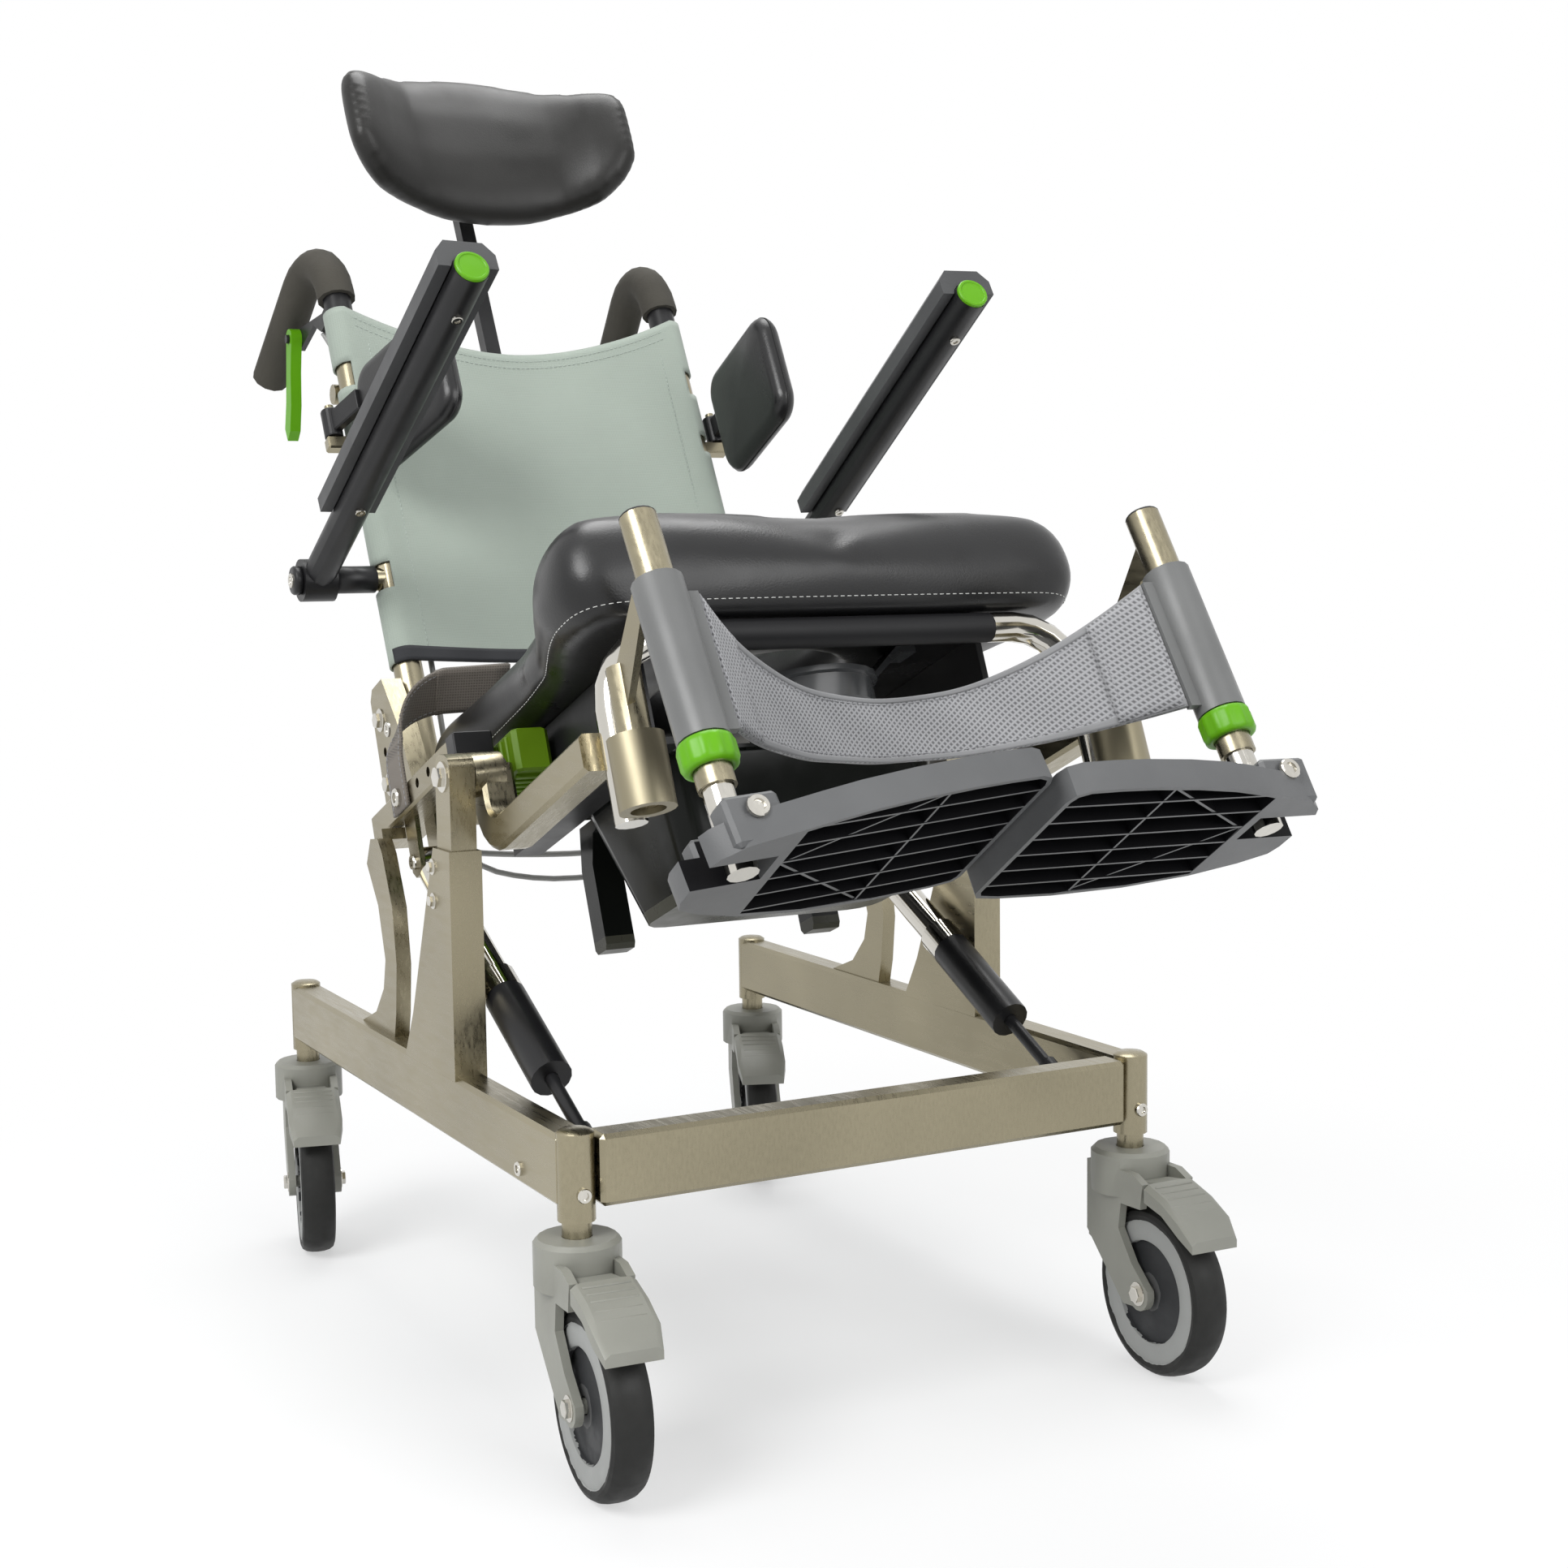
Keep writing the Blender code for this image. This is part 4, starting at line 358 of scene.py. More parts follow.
def metal_look(name, color, low, high, grain):
    """Brushed metal, whose streaks change its roughness between two values."""
    look = Surface(name, color, low, 1.0)
    streak = look.noise(1.0, 4.0, look.stretched([grain * share for share in METAL_STREAK]))
    look.wear(streak, low, high)
    look.shade(look.blend(look.noise(6.0, 2.0), streak, METAL_STREAK_SHARE), METAL_SPREAD)
    look.bump(streak, METAL_DEPTH, 0.25)


def plastic_look(name, color, rough, grain, depth, spread, shine):
    look = Surface(name, color, rough, shine=shine)
    look.wear(look.noise(23.0), rough - PLASTIC_ROUGH_SPREAD, rough + PLASTIC_ROUGH_SPREAD)
    look.shade(look.noise(14.0, 4.0), spread)
    look.bump(look.noise(grain, 2.0), depth, 0.5)


def fabric_look(name, color, pitch, turn, depth, spread, sheen, thread):
    """Woven cloth: thread is the share of the colour's change that follows the weave."""
    look = Surface(name, color, FABRIC_ROUGH)
    weave = look.math("MAXIMUM", look.ribs(pitch, "X", turn), look.ribs(pitch, "Z", turn))
    look.shade(look.blend(look.noise(9.0, 4.0), weave, thread), spread, 0.35, 0.75)
    look.bump(look.noise(38.0), FABRIC_RUMPLE, 0.35)
    look.bump(weave, depth, 0.6)
    look.set("Sheen Weight", sheen)


def vinyl_look(name, color, rough, shine):
    look = Surface(name, color, rough, shine=shine)
    look.wear(look.noise(17.0, 4.0), rough - 0.08, rough + 0.10)
    look.shade(look.noise(5.0, 4.0), VINYL_SPREAD)
    look.bump(look.noise(45.0), VINYL_RUMPLE, 0.12)
    look.bump(look.cells(VINYL_GRAIN), VINYL_GRAIN_DEPTH, 0.45)


def wheel_look(corner):
    """Tread, grey rim and dark hub cover, told apart by the distance from the axle."""
    look = Surface(f"wheel_{corner}", WHEEL_DARK, 0.6, shine=0.25)
    offset = look.vector("SUBTRACT", look.place, PINS[f"wheel_spin_{corner}"])[0]
    across = look.vector("CROSS_PRODUCT", offset, AXES[f"wheel_spin_{corner}"])[0]
    share = look.mapped(look.vector("LENGTH", across)["Value"], 0.0, 1.0, 0.0, WHEEL_RADIUS)
    grime = look.mapped(look.noise(90.0, 4.0), -WHEEL_GRIME, WHEEL_GRIME, *NOISE_SPAN)
    look.set("Base Color", look.ramp(look.math("ADD", share, grime), *WHEEL_RINGS, constant=True))
    look.wear(look.noise(60.0), 0.45, 0.72)
    look.bump(look.noise(900.0, 2.0), 0.0001, 0.4)


def parted_look(name, start, line, edge, near, far, shine=0.35):
    """Two finishes that meet at a distance along a line; each is its colour, metalness and roughness."""
    look = Surface(name, near[0], near[2], shine=shine)
    along = look.vector("DOT_PRODUCT", look.place, line)["Value"]
    share = look.mapped(along, 0.0, 1.0, start.dot(line), start.dot(line) + 2 * edge)
    beyond = look.ramp(share, (0.0, (0, 0, 0)), (0.5, (1, 1, 1)), constant=True)
    scuff = look.mapped(look.noise(40.0, 4.0), -0.06, 0.08, 0.35, 0.8)
    look.set("Base Color", look.ramp(share, (0.0, near[0]), (0.5, far[0]), constant=True))
    look.set("Metallic", look.mapped(beyond, near[1], far[1]))
    look.set("Roughness", look.math("ADD", look.mapped(beyond, near[2], far[2]), scuff))


def hoop_look():
    """Chrome hoop, black over the middle of its front bar for the black guide parts there and for painted
    shade, with satin hanger sockets.
    """
    look = Surface("hoop", CHROME, 0.12, shine=0.25)
    across = look.node("SeparateXYZ", look.place).outputs["X"]
    # Black middle of the front bar: the black guide parts there and painted shade
    bare = look.math("GREATER_THAN", look.math("ABSOLUTE", across), HOOP_DARK_HALF)
    along = look.vector("DOT_PRODUCT", look.place, SEAT_REARWARD)["Value"]
    tube = look.math("GREATER_THAN", along, SEAT.translation.dot(SEAT_REARWARD) + SOCKET_BACK)
    bright = look.math("MULTIPLY", bare, tube)
    satin = look.math("SUBTRACT", bare, bright)
    shown = look.math("ADD", look.math("MULTIPLY", bright, 0.9), look.math("MULTIPLY", satin, 0.5))
    look.set("Base Color", look.ramp(shown, (0.0, BLACK), (0.3, STEEL), (0.7, CHROME), constant=True))
    look.set("Metallic", bare)
    rough = look.ramp(shown, (0.0, (0.5,) * 3), (0.3, (0.42,) * 3), (0.7, (0.10,) * 3), constant=True)
    look.set("Roughness", look.math("ADD", rough, look.mapped(look.noise(40.0), -0.04, 0.05)))


def make_looks():
    back_turn = (BACK.inverted().to_euler().x, 0, 0)
    metal_look("steel", STEEL, 0.22, 0.38, 520.0)
    metal_look("chrome", CHROME, 0.06, 0.15, 300.0)
    for name, values in PLASTICS.items():
        plastic_look(name, *values)
    vinyl_look("vinyl", (0.009, 0.009, 0.0095), 0.32, 0.45)
    vinyl_look("head_foam", (0.012, 0.0115, 0.0105), 0.38, 0.34)
    fabric_look("sling", (0.318, 0.364, 0.316), 0.0016, back_turn, 0.00018, 0.07, 0.15, 0.25)
    fabric_look("mesh_fabric", (0.235, 0.235, 0.242), 0.0030, WEAVE_TURN, 0.0006, 0.45, 0.1, 0.75)
    fabric_look("webbing", (0.135, 0.118, 0.100), 0.0022, (0, 0, 0), 0.0004, 0.30, 0.1, 0.5)
    for name, _ in SIDES:
        foot, stroke = PINS[f"spring_swing_{name}"], AXES[f"spring_stroke_{name}"]
        parted_look(f"spring_{name}", foot, stroke, SPRING_SLEEVE_END, (BLACK, 0.0, 0.36),
                    (CHROME, 1.0, 0.12))
    hoop_look()
    lowest = min((v.co for v in NODES["commode_pan"].data.vertices), key=SEAT_UP.dot)
    # Pan's bottom edge lighter: painted light showing through the translucent plastic
    parted_look("pan", lowest, SEAT_UP, PAN_EDGE, (SMOKE_GLOW_EDGE, 0.0, 0.30), (SMOKE, 0.0, 0.24), PAN_SHINE)
    parted_look("back_post", BACK.translation, BACK_UP, POST_BARE_END, (STEEL, 1.0, 0.30), (BLACK, 0.0, 0.42))
    for corner in CORNERS:
        wheel_look(corner)


# Finish of the CAD nodes; those not named here take the one called like their material slot
NODE_LOOKS = {"arm_pad": "arm_plastic", "calf_sleeve": "sleeve_plastic", "splash_cup": "cup_plastic",
              "back_post": "back_post", "front_hoop": "hoop", "footplate": "plate_plastic",
              "commode_pan": "pan"}
# Nodes whose finish is made for each of them
OWN_LOOKS = {"caster_wheel": "wheel_", "spring_cylinder": "spring_"}
STORED_SHADING = ("custom_normal", "sharp_face", "sharp_edge")
SHARP_EDGE = math.radians(32)
WELD_REACH = 0.00002
# Painted shade inside a hollow plate: share of level faces and of steep ones, depth below the rim, free sight
# to a wall
TRAY_LEVEL = 0.9
TRAY_STEEP = 0.5
TRAY_DEPTH = 0.006
TRAY_CLEAR = 0.0004
TRAY_SIGHT = 0.12


def dress(node, look):
    """Gives a CAD node its procedural finish, shaded smooth except over its sharp edges."""
    mesh = NODES[node].data
    mesh.materials.clear()
    mesh.materials.append(LOOKS[look])
    for kept in [a.name for a in mesh.attributes if a.name in STORED_SHADING]:
        mesh.attributes.remove(mesh.attributes[kept])
    modifiers = NODES[node].modifiers
    modifiers.new("weld", "WELD").merge_threshold = WELD_REACH
    modifiers.new("edges", "EDGE_SPLIT").split_angle = SHARP_EDGE
    modifiers.new("normals", "WEIGHTED_NORMAL").keep_sharp = True


def tree_of(mesh):
    """Search tree over the faces of a mesh."""
    return BVHTree.FromPolygons([v.co for v in mesh.vertices], [f.vertices for f in mesh.polygons])


def shade_tray(node):
    """Painted shade inside a hollow plate: black on faces that look down from well above its rim, or at a
    wall across it.
    """
    mesh = NODES[node].data
    mesh.materials.append(LOOKS["shadow_plastic"])
    shape = tree_of(mesh)
    down = -max((f for f in mesh.polygons if f.normal.z > 0.5), key=lambda f: f.area).normal
    low = max(down.dot(v.co) for v in mesh.vertices)
    for face in mesh.polygons:
        level = face.normal.dot(down)
        if level > TRAY_LEVEL:
            inside = low - down.dot(face.center) > TRAY_DEPTH
        else:
            start = face.center + face.normal * TRAY_CLEAR
            inside = abs(level) < TRAY_STEEP and shape.ray_cast(start, face.normal, TRAY_SIGHT)[0] is not None
        if inside:
            face.material_index = 1


def dress_nodes():
    for row in frame["record"]["subparts"]:
        node = row["node"]
        stem, end = node.rsplit("_", 1)
        look = NODE_LOOKS.get(stem, NODE_LOOKS.get(node, row["material_slot"]))
        if stem in OWN_LOOKS:
            look = OWN_LOOKS[stem] + end
        dress(node, look)
        if stem == "footplate":
            # Painted shade in the plate's hollow underside
            shade_tray(node)


# Making pieces
def dressed(piece, look, body, smooth=True):
    """Gives a piece its finish, its smooth or flat shading and the body it rides on."""
    piece.data.materials.clear()
    piece.data.materials.append(LOOKS[look])
    for face in piece.data.polygons:
        face.use_smooth = smooth
    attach(piece, body)
    return piece


def new_piece(name, mesh, look, body, smooth=True):
    return dressed(linked(name, mesh), look, body, smooth)


def mesh_of(name, points, faces):
    mesh = bpy.data.meshes.new(name)
    mesh.from_pydata([tuple(p) for p in points], [], faces)
    mesh.update()
    return mesh


def quads(count, wide, closed, base=0):
    """Faces between neighbouring rows of points; closed rows join their ends."""
    faces = []
    for row in range(base, base + (count - 1) * wide, wide):
        for c in range(wide if closed else wide - 1):
            d = (c + 1) % wide
            faces.append((row + c, row + d, row + wide + d, row + wide + c))
    return faces


def grid_mesh(name, rows):
    return mesh_of(name, [p for row in rows for p in row], quads(len(rows), len(rows[0]), False))


def lathe(profile, sides, place):
    """Rows of a profile of (radius, height) turned about the local Z of a frame."""
    turns = [math.tau * k / sides for k in range(sides)]
    return [[place @ Vector((r * math.cos(a), r * math.sin(a), h)) for a in turns] for r, h in profile]


def facing(origin, axis):
    """Frame at a point with Z along an axis."""
    turn = Vector(axis).to_track_quat("Z", "Y").to_matrix().to_4x4()
    return Matrix.Translation(Vector(origin)) @ turn


class Batch:
    """Many small solids of one finish, joined into one piece per body."""

    def __init__(self):
        self.points = []
        self.faces = []

    def rows(self, rows, caps=True):
        base = len(self.points)
        wide = len(rows[0])
        for row in rows:
            self.points += [Vector(p) for p in row]
        self.faces += quads(len(rows), wide, True, base)
        if caps:
            last = base + (len(rows) - 1) * wide
            self.faces.append(tuple(base + c for c in reversed(range(wide))))
            self.faces.append(tuple(last + c for c in range(wide)))

    def dome(self, origin, axis, radius, height):
        """Low domed plug standing on a face."""
        profile = [(radius * 0.98, -0.0004), (radius, height * 0.25), (radius * 0.93, height * 0.62),
                   (radius * 0.72, height * 0.88), (radius * 0.38, height)]
        self.rows(lathe(profile, 20, facing(origin, axis)))

    def hex_bolt(self, origin, axis, radius, height):
        """Washer and hexagonal head with a chamfered top."""
        place = facing(origin, axis)
        self.rows(lathe([(radius * 1.45, -0.0003), (radius * 1.45, height * 0.16),
                         (radius * 1.38, height * 0.22)], 20, place))
        head = [(radius, height * 0.18), (radius, height * 0.88), (radius * 0.86, height)]
        self.rows(lathe(head, 6, place))

    def socket_screw(self, origin, axis, radius, height):
        """Round head with a round hollow."""
        profile = [(radius, -0.0003), (radius, height * 0.7), (radius * 0.9, height), (radius * 0.55, height),
                   (radius * 0.5, height * 0.45), (radius * 0.05, height * 0.4)]
        self.rows(lathe(profile, 18, facing(origin, axis)))

    def capsule(self, start, end, radius, sides):
        """Short rounded stroke such as a stitch."""
        line = Vector(end) - Vector(start)
        shoulder = radius * 0.9
        profile = [(radius * 0.45, 0), (radius, shoulder), (radius, line.length - shoulder),
                   (radius * 0.45, line.length)]
        self.rows(lathe(profile, sides, facing(start, line.normalized())))

    def dash(self, points, stroke, space, radius):
        """Row of stitches along a line of points."""
        walk = [0.0]
        for a, b in zip(points, points[1:]):
            walk.append(walk[-1] + (b - a).length)

        def at(distance):
            k = max(i for i, w in enumerate(walk[:-1]) if w <= distance)
            return points[k].lerp(points[k + 1], (distance - walk[k]) / max(walk[k + 1] - walk[k], 1e-9))

        for k in range(int(walk[-1] / (stroke + space))):
            start = k * (stroke + space)
            self.capsule(at(start), at(start + stroke), radius, 6)

    def box(self, place, low, high, chamfer):
        """Block with chamfered edges in a frame."""
        (x0, y0, z0), (x1, y1, z1) = low, high
        c = chamfer
        outline = [(x0 + c, y0), (x1 - c, y0), (x1, y0 + c), (x1, y1 - c), (x1 - c, y1), (x0 + c, y1),
                   (x0, y1 - c), (x0, y0 + c)]
        mid_x, mid_y = (x0 + x1) / 2, (y0 + y1) / 2

        def ring(z, inset):
            shrunk = [(x + math.copysign(inset, mid_x - x), y + math.copysign(inset, mid_y - y))
                      for x, y in outline]
            return [place @ Vector((x, y, z)) for x, y in shrunk]

        self.rows([ring(z0, c * 0.5), ring(z0 + c * 0.5, 0), ring(z1 - c * 0.5, 0), ring(z1, c * 0.5)])

    def mesh(self, name):
        return mesh_of(name, self.points, self.faces)

    def piece(self, name, look, body, slot=None, smooth=False):
        return new_piece(name, self.mesh(name), look, body, smooth)


def applied(piece):
    """Freezes a piece's modifiers into its mesh."""
    bpy.context.view_layer.update()
    held = bpy.context.evaluated_depsgraph_get()
    done = bpy.data.meshes.new_from_object(piece.evaluated_get(held))
    piece.modifiers.clear()
    piece.data = done
    return piece


def outward(mesh):
    """Turns the faces of a closed mesh to the outside."""
    shape = bmesh.new()
    shape.from_mesh(mesh)
    bmesh.ops.recalc_face_normals(shape, faces=shape.faces[:])
    shape.to_mesh(mesh)
    shape.free()
    return mesh


def thicken(piece, thickness):
    """Gives a sheet its thickness, half to each side, with closed edges."""
    skin = piece.modifiers.new("skin", "SOLIDIFY")
    skin.thickness = thickness
    skin.offset = 0.0
    applied(piece)
    for face in piece.data.polygons:
        face.use_smooth = True
    return piece


def cloth_piece(name, rows, look, body, thickness):
    return thicken(new_piece(name, grid_mesh(name, rows), look, body), thickness)


def smoothed(piece, rounds):
    piece.modifiers.new("soften", "SMOOTH").iterations = rounds


def remeshed(node, name, voxel, rounds):
    """Copy of a CAD solid as an even mesh with softened edges."""
    piece = linked(name, NODES[node].data.copy())
    even = piece.modifiers.new("even", "REMESH")
    even.mode = "VOXEL"
    even.voxel_size = voxel
    smoothed(piece, rounds)
    return applied(piece)


def share_of(value, start, span):
    """Share of a span that a value has passed, from zero to one."""
    return min(max((value - start) / span, 0), 1)


def puff(piece, height, share):
    """Moves each point of a padded piece out along its normal, by the share of a height for its place."""
    ways = [v.normal.copy() for v in piece.data.vertices]
    for vertex, way in zip(piece.data.vertices, ways):
        vertex.co += way * height * share(vertex.co)


# Seat cushion and headrest
CUSHION_FLOOR = 0.0388
CUSHION_VOXEL = 0.005
CUSHION_ROUNDS = 40
CUSHION_SWELL = 0.005
CUSHION_SWELL_START = 0.008
CUSHION_SWELL_SPAN = 0.020
CUSHION_HELD = 0.004
CUSHION_CAP = 0.005
CUSHION_SETTLE = 10
CLOTH = {"quality": 4, "mass": 0.2, "tension_stiffness": 25, "compression_stiffness": 25,
         "bending_stiffness": 2.0, "use_pressure": True, "uniform_pressure_force": 2.5,
         "vertex_group_mass": "held"}
CLOTH_STEPS = 20
STITCH_CENTRE = Vector((0, -0.05, 0.0485))
STITCH_FROM = -215
STITCH_TO = 35
STITCH_COUNT = 220
STITCH_START = 0.6
STITCH_LIFT = 0.0002
# Stroke, space and radius of the stitches
CUSHION_THREAD = (0.0032, 0.0022, 0.00032)
SLING_THREAD = (0.0030, 0.0016, 0.00035)
STRAP_THREAD = (0.0032, 0.0018, 0.0004)
HEAD_VOXEL = 0.004
HEAD_ROUNDS = 30
HEAD_SETTLE = 4
HEAD_SWELL = 0.0030
EAR_SWELL = 0.0050
EAR_START = 0.070
EAR_SPAN = 0.035


def inflate(piece, held):
    """Swells a padded piece by cloth pressure, with the points of held fixed and each move capped."""
    rest = [v.co.copy() for v in piece.data.vertices]
    group = piece.vertex_groups.new(name="held")
    group.add([i for i, p in enumerate(rest) if held(p)], 1.0, "ADD")
    cloth = piece.modifiers.new("stuffing", "CLOTH")
    for name, value in CLOTH.items():
        setattr(cloth.settings, name, value)
    cloth.settings.effector_weights.gravity = 0
    cloth.collision_settings.use_collision = False
    cloth.point_cache.frame_start = 1
    cloth.point_cache.frame_end = CLOTH_STEPS
    for step in range(1, CLOTH_STEPS + 1):
        bpy.context.scene.frame_set(step)
    applied(piece)
    bpy.context.scene.frame_set(1)
    piece.vertex_groups.clear()
    for vertex, start in zip(piece.data.vertices, rest):
        move = vertex.co - start
        if move.length > CUSHION_CAP:
            vertex.co = start + move * (CUSHION_CAP / move.length)


def seat_cushion():
    piece = remeshed("seat_cushion", "cushion", CUSHION_VOXEL, CUSHION_ROUNDS)
    local = SEAT.inverted()

    def height(point):
        return (local @ point).z - CUSHION_FLOOR

    puff(piece, CUSHION_SWELL, lambda p: share_of(height(p), CUSHION_SWELL_START, CUSHION_SWELL_SPAN))
    inflate(piece, lambda p: height(p) < CUSHION_HELD)
    smoothed(piece, CUSHION_SETTLE)
    applied(piece)
    dressed(piece, "vinyl", "seat")
    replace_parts(piece, "seat_cushion")
    cushion_stitches(tree_of(piece.data))


def cushion_stitches(shape):
    """Pale stitching low on the cushion's front roll and sides."""
    line = []
    for k in range(STITCH_COUNT + 1):
        turn = math.radians(STITCH_FROM + (STITCH_TO - STITCH_FROM) * k / STITCH_COUNT)
        out = Vector((math.cos(turn), math.sin(turn), 0))
        start = STITCH_CENTRE + out * STITCH_START
        hit, normal, _, _ = shape.ray_cast(SEAT @ start, SEAT.to_3x3() @ -out)
        if hit:
            line.append(hit + normal * STITCH_LIFT)
    thread = Batch()
    thread.dash(line, *CUSHION_THREAD)
    thread.piece("cushion_stitches", "thread", "seat", "vinyl", True)


def headrest():
    piece = remeshed("headrest_pad", "head_pad", HEAD_VOXEL, HEAD_ROUNDS)
    puff(piece, EAR_SWELL, lambda p: share_of(abs(p.x), EAR_START, EAR_SPAN))
    swell = piece.modifiers.new("swell", "DISPLACE")
    swell.strength = HEAD_SWELL
    swell.mid_level = 0.0
    smoothed(piece, HEAD_SETTLE)
    applied(piece)
    dressed(piece, "head_foam", "headrest")
    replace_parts(piece, "headrest_pad")


# Side pads
LATERAL_PLACE = Vector((0.186, 0, 0.350))
LATERAL_LOW = Vector((-0.023, -0.162, -0.0477))
LATERAL_HIGH = Vector((0.004, -0.037, 0.0573))
LATERAL_EDGE = 0.0118
LATERAL_CORNER = 0.022
LATERAL_CROWN = 0.0030
LATERAL_REST = {"left": math.radians(18), "right": 0.0}
CROWN_SHARES = (0.04, 0.3, 0.55, 0.75, 0.9)
CORNER_POINTS = 16
# Radius and height along the hinge barrel, and the arm that holds the pad to it
BARREL = ((0.0045, 0.0125), (0.0078, 0.0125), (0.0082, 0.0135), (0.0082, 0.0380), (0.0078, 0.0390),
          (0.0045, 0.0390), (0.0045, 0.0125))
PAD_ARM_LOW = (-0.0042, 0.0160, 0.0055)
PAD_ARM_HIGH = (0.0042, 0.0360, 0.0450)
PAD_ARM_CHAMFER = 0.0012


def rounded_loop(half_y, half_z, radius):
    y, z = half_y - radius, half_z - radius
    loop = []
    for corner_y, corner_z, start in ((y, z, 0), (-y, z, 90), (-y, -z, 180), (y, -z, 270)):
        for k in range(CORNER_POINTS):
            a = math.radians(start + 90 * k / (CORNER_POINTS - 1))
            loop.append((corner_y + radius * math.cos(a), corner_z + radius * math.sin(a)))
    return loop


def paddle(place, side):
    """Rounded pad with rolled edges whose broad faces swell, in a frame, mirrored for the left side."""
    half = (LATERAL_HIGH - LATERAL_LOW) / 2
    middle = (LATERAL_HIGH + LATERAL_LOW) / 2
    edge, crown = LATERAL_EDGE, LATERAL_CROWN

    def ring(x, inset, scale):
        loop = rounded_loop(half.y - inset, half.z - inset, LATERAL_CORNER - inset * 0.6)
        return [place @ Vector(((middle.x + x) * side, middle.y + y * scale, middle.z + z * scale))
                for y, z in loop]

    face = half.x - crown
    front = [(face + crown * (1 - s * s), edge, s) for s in CROWN_SHARES]
    for turn in range(0, 91, 15):
        a = math.radians(turn)
        front.append((face - edge + edge * math.cos(a), edge - edge * math.sin(a), 1.0))
    batch = Batch()
    batch.rows([ring(*row) for row in front] + [ring(-x, inset, s) for x, inset, s in reversed(front)])
    return outward(batch.mesh("paddle"))


def lateral_pads():
    """Side pads, each on its swing arm and hinge barrel."""
    for name, side in SIDES:
        place = BACK @ Matrix.Translation(sided(side, LATERAL_PLACE))
        place = place @ Matrix.Rotation(-side * LATERAL_REST[name], 4, "Z")
        body = f"lateral_{name}"
        pad = new_piece(f"side_pad_{name}", paddle(place, side), "vinyl", body)
        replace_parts(pad, f"lateral_pad_{name}")
        bracket = Batch()
        bracket.rows(lathe(BARREL, 24, place), caps=False)
        bracket.box(place @ Matrix.Rotation(math.pi / 2, 4, "X"), PAD_ARM_LOW, PAD_ARM_HIGH, PAD_ARM_CHAMFER)
        bracket.piece(f"side_pad_bracket_{name}", "black_plastic", body)


# Back sling, in the back frame
POST_X = 0.160
SLEEVE_MID = 0.0141
SLEEVE_WRAP = 252
SLEEVE_STEP = 12
SLING_FOOT = 0.1416
SLING_TOP = 0.489
SLING_TALL = SLING_TOP - SLING_FOOT
SLING_DIP = 0.036
SLING_SAG = 0.012
SLING_SKIN = 0.0018
SLING_FACE = SLING_SKIN * 0.62
SLING_COLUMNS = 44
SLING_ROWS = 56
# Depth of each crease and how fast it turns over the sling's height and towards the posts
SLING_CREASES = ((0.0016, 9.0, 13.0), (0.0011, -5.0, 31.0))
SLING_HOLES = ((0.211, 0.237), (0.347, 0.365), (0.408, 0.432))
HOLE_PAST = 0.003
HOLE_INSIDE = 0.020
BINDING_TALL = 0.013
BINDING_BELOW = 0.002
BINDING_EXTRA = 0.0014
BINDING_REACH = POST_X + SLEEVE_MID * 0.9
BINDING_REAR = 0.004
TOP_SEAMS = (0.008, 0.016)
TOP_SEAM_END = POST_X - 0.006
SIDE_SEAM_X = POST_X - 0.017
SIDE_SEAM_STEP = 0.012
SIDE_SEAM_POINTS = 26


def between(x):
    """One midway between the back posts, zero at the posts and beyond them."""
    return max(1 - (x / POST_X) ** 2, 0)


def sling_front(x):
    return -SLEEVE_MID + SLING_SAG * between(x)


def sling_line():
    """Plan of the sling: round the left post, across the back with its sag, round the right post."""
    across = [POST_X * (2 * k / SLING_COLUMNS - 1) for k in range(SLING_COLUMNS + 1)]
    turns = [math.radians(t) for t in range(SLEEVE_STEP, SLEEVE_WRAP + SLEEVE_STEP, SLEEVE_STEP)]
    right = [(POST_X + SLEEVE_MID * math.sin(a), -SLEEVE_MID * math.cos(a)) for a in turns]
    left = [(-x, y) for x, y in reversed(right)]
    return left + [(x, sling_front(x)) for x in across] + right


def sling_height(x, share):
    """Height on the back frame at a share of the sling's own height there."""
    return SLING_FOOT + share * (SLING_TOP - SLING_DIP * between(x) - SLING_FOOT)


def sling_fold(x, share):
    """Shallow drape of the loose fabric: long creases that fan from the posts."""
    return between(x) * sum(depth * math.sin(up * share + out * abs(x)) for depth, up, out in SLING_CREASES)


def sling_rows(shares, line, swell=0.0):
    return [[BACK @ Vector((x, y + sling_fold(x, share) + swell, sling_height(x, share))) for x, y in line]
            for share in shares]


def open_sleeve(mesh):
    """Leaves the cloth open where the arm pivot, the pad lug and the crossbar reach the post."""
    local = BACK.inverted()
    shape = bmesh.new()
    shape.from_mesh(mesh)
    gone = []
    for face in shape.faces:
        spot = local @ face.calc_center_median()
        rear = abs(spot.x) > POST_X - HOLE_INSIDE and spot.y > HOLE_PAST
        outer = abs(spot.x) > POST_X + HOLE_PAST
        if (outer or rear) and any(low < spot.z < high for low, high in SLING_HOLES):
            gone.append(face)
    bmesh.ops.delete(shape, geom=gone, context="FACES")
    shape.to_mesh(mesh)
    shape.free()


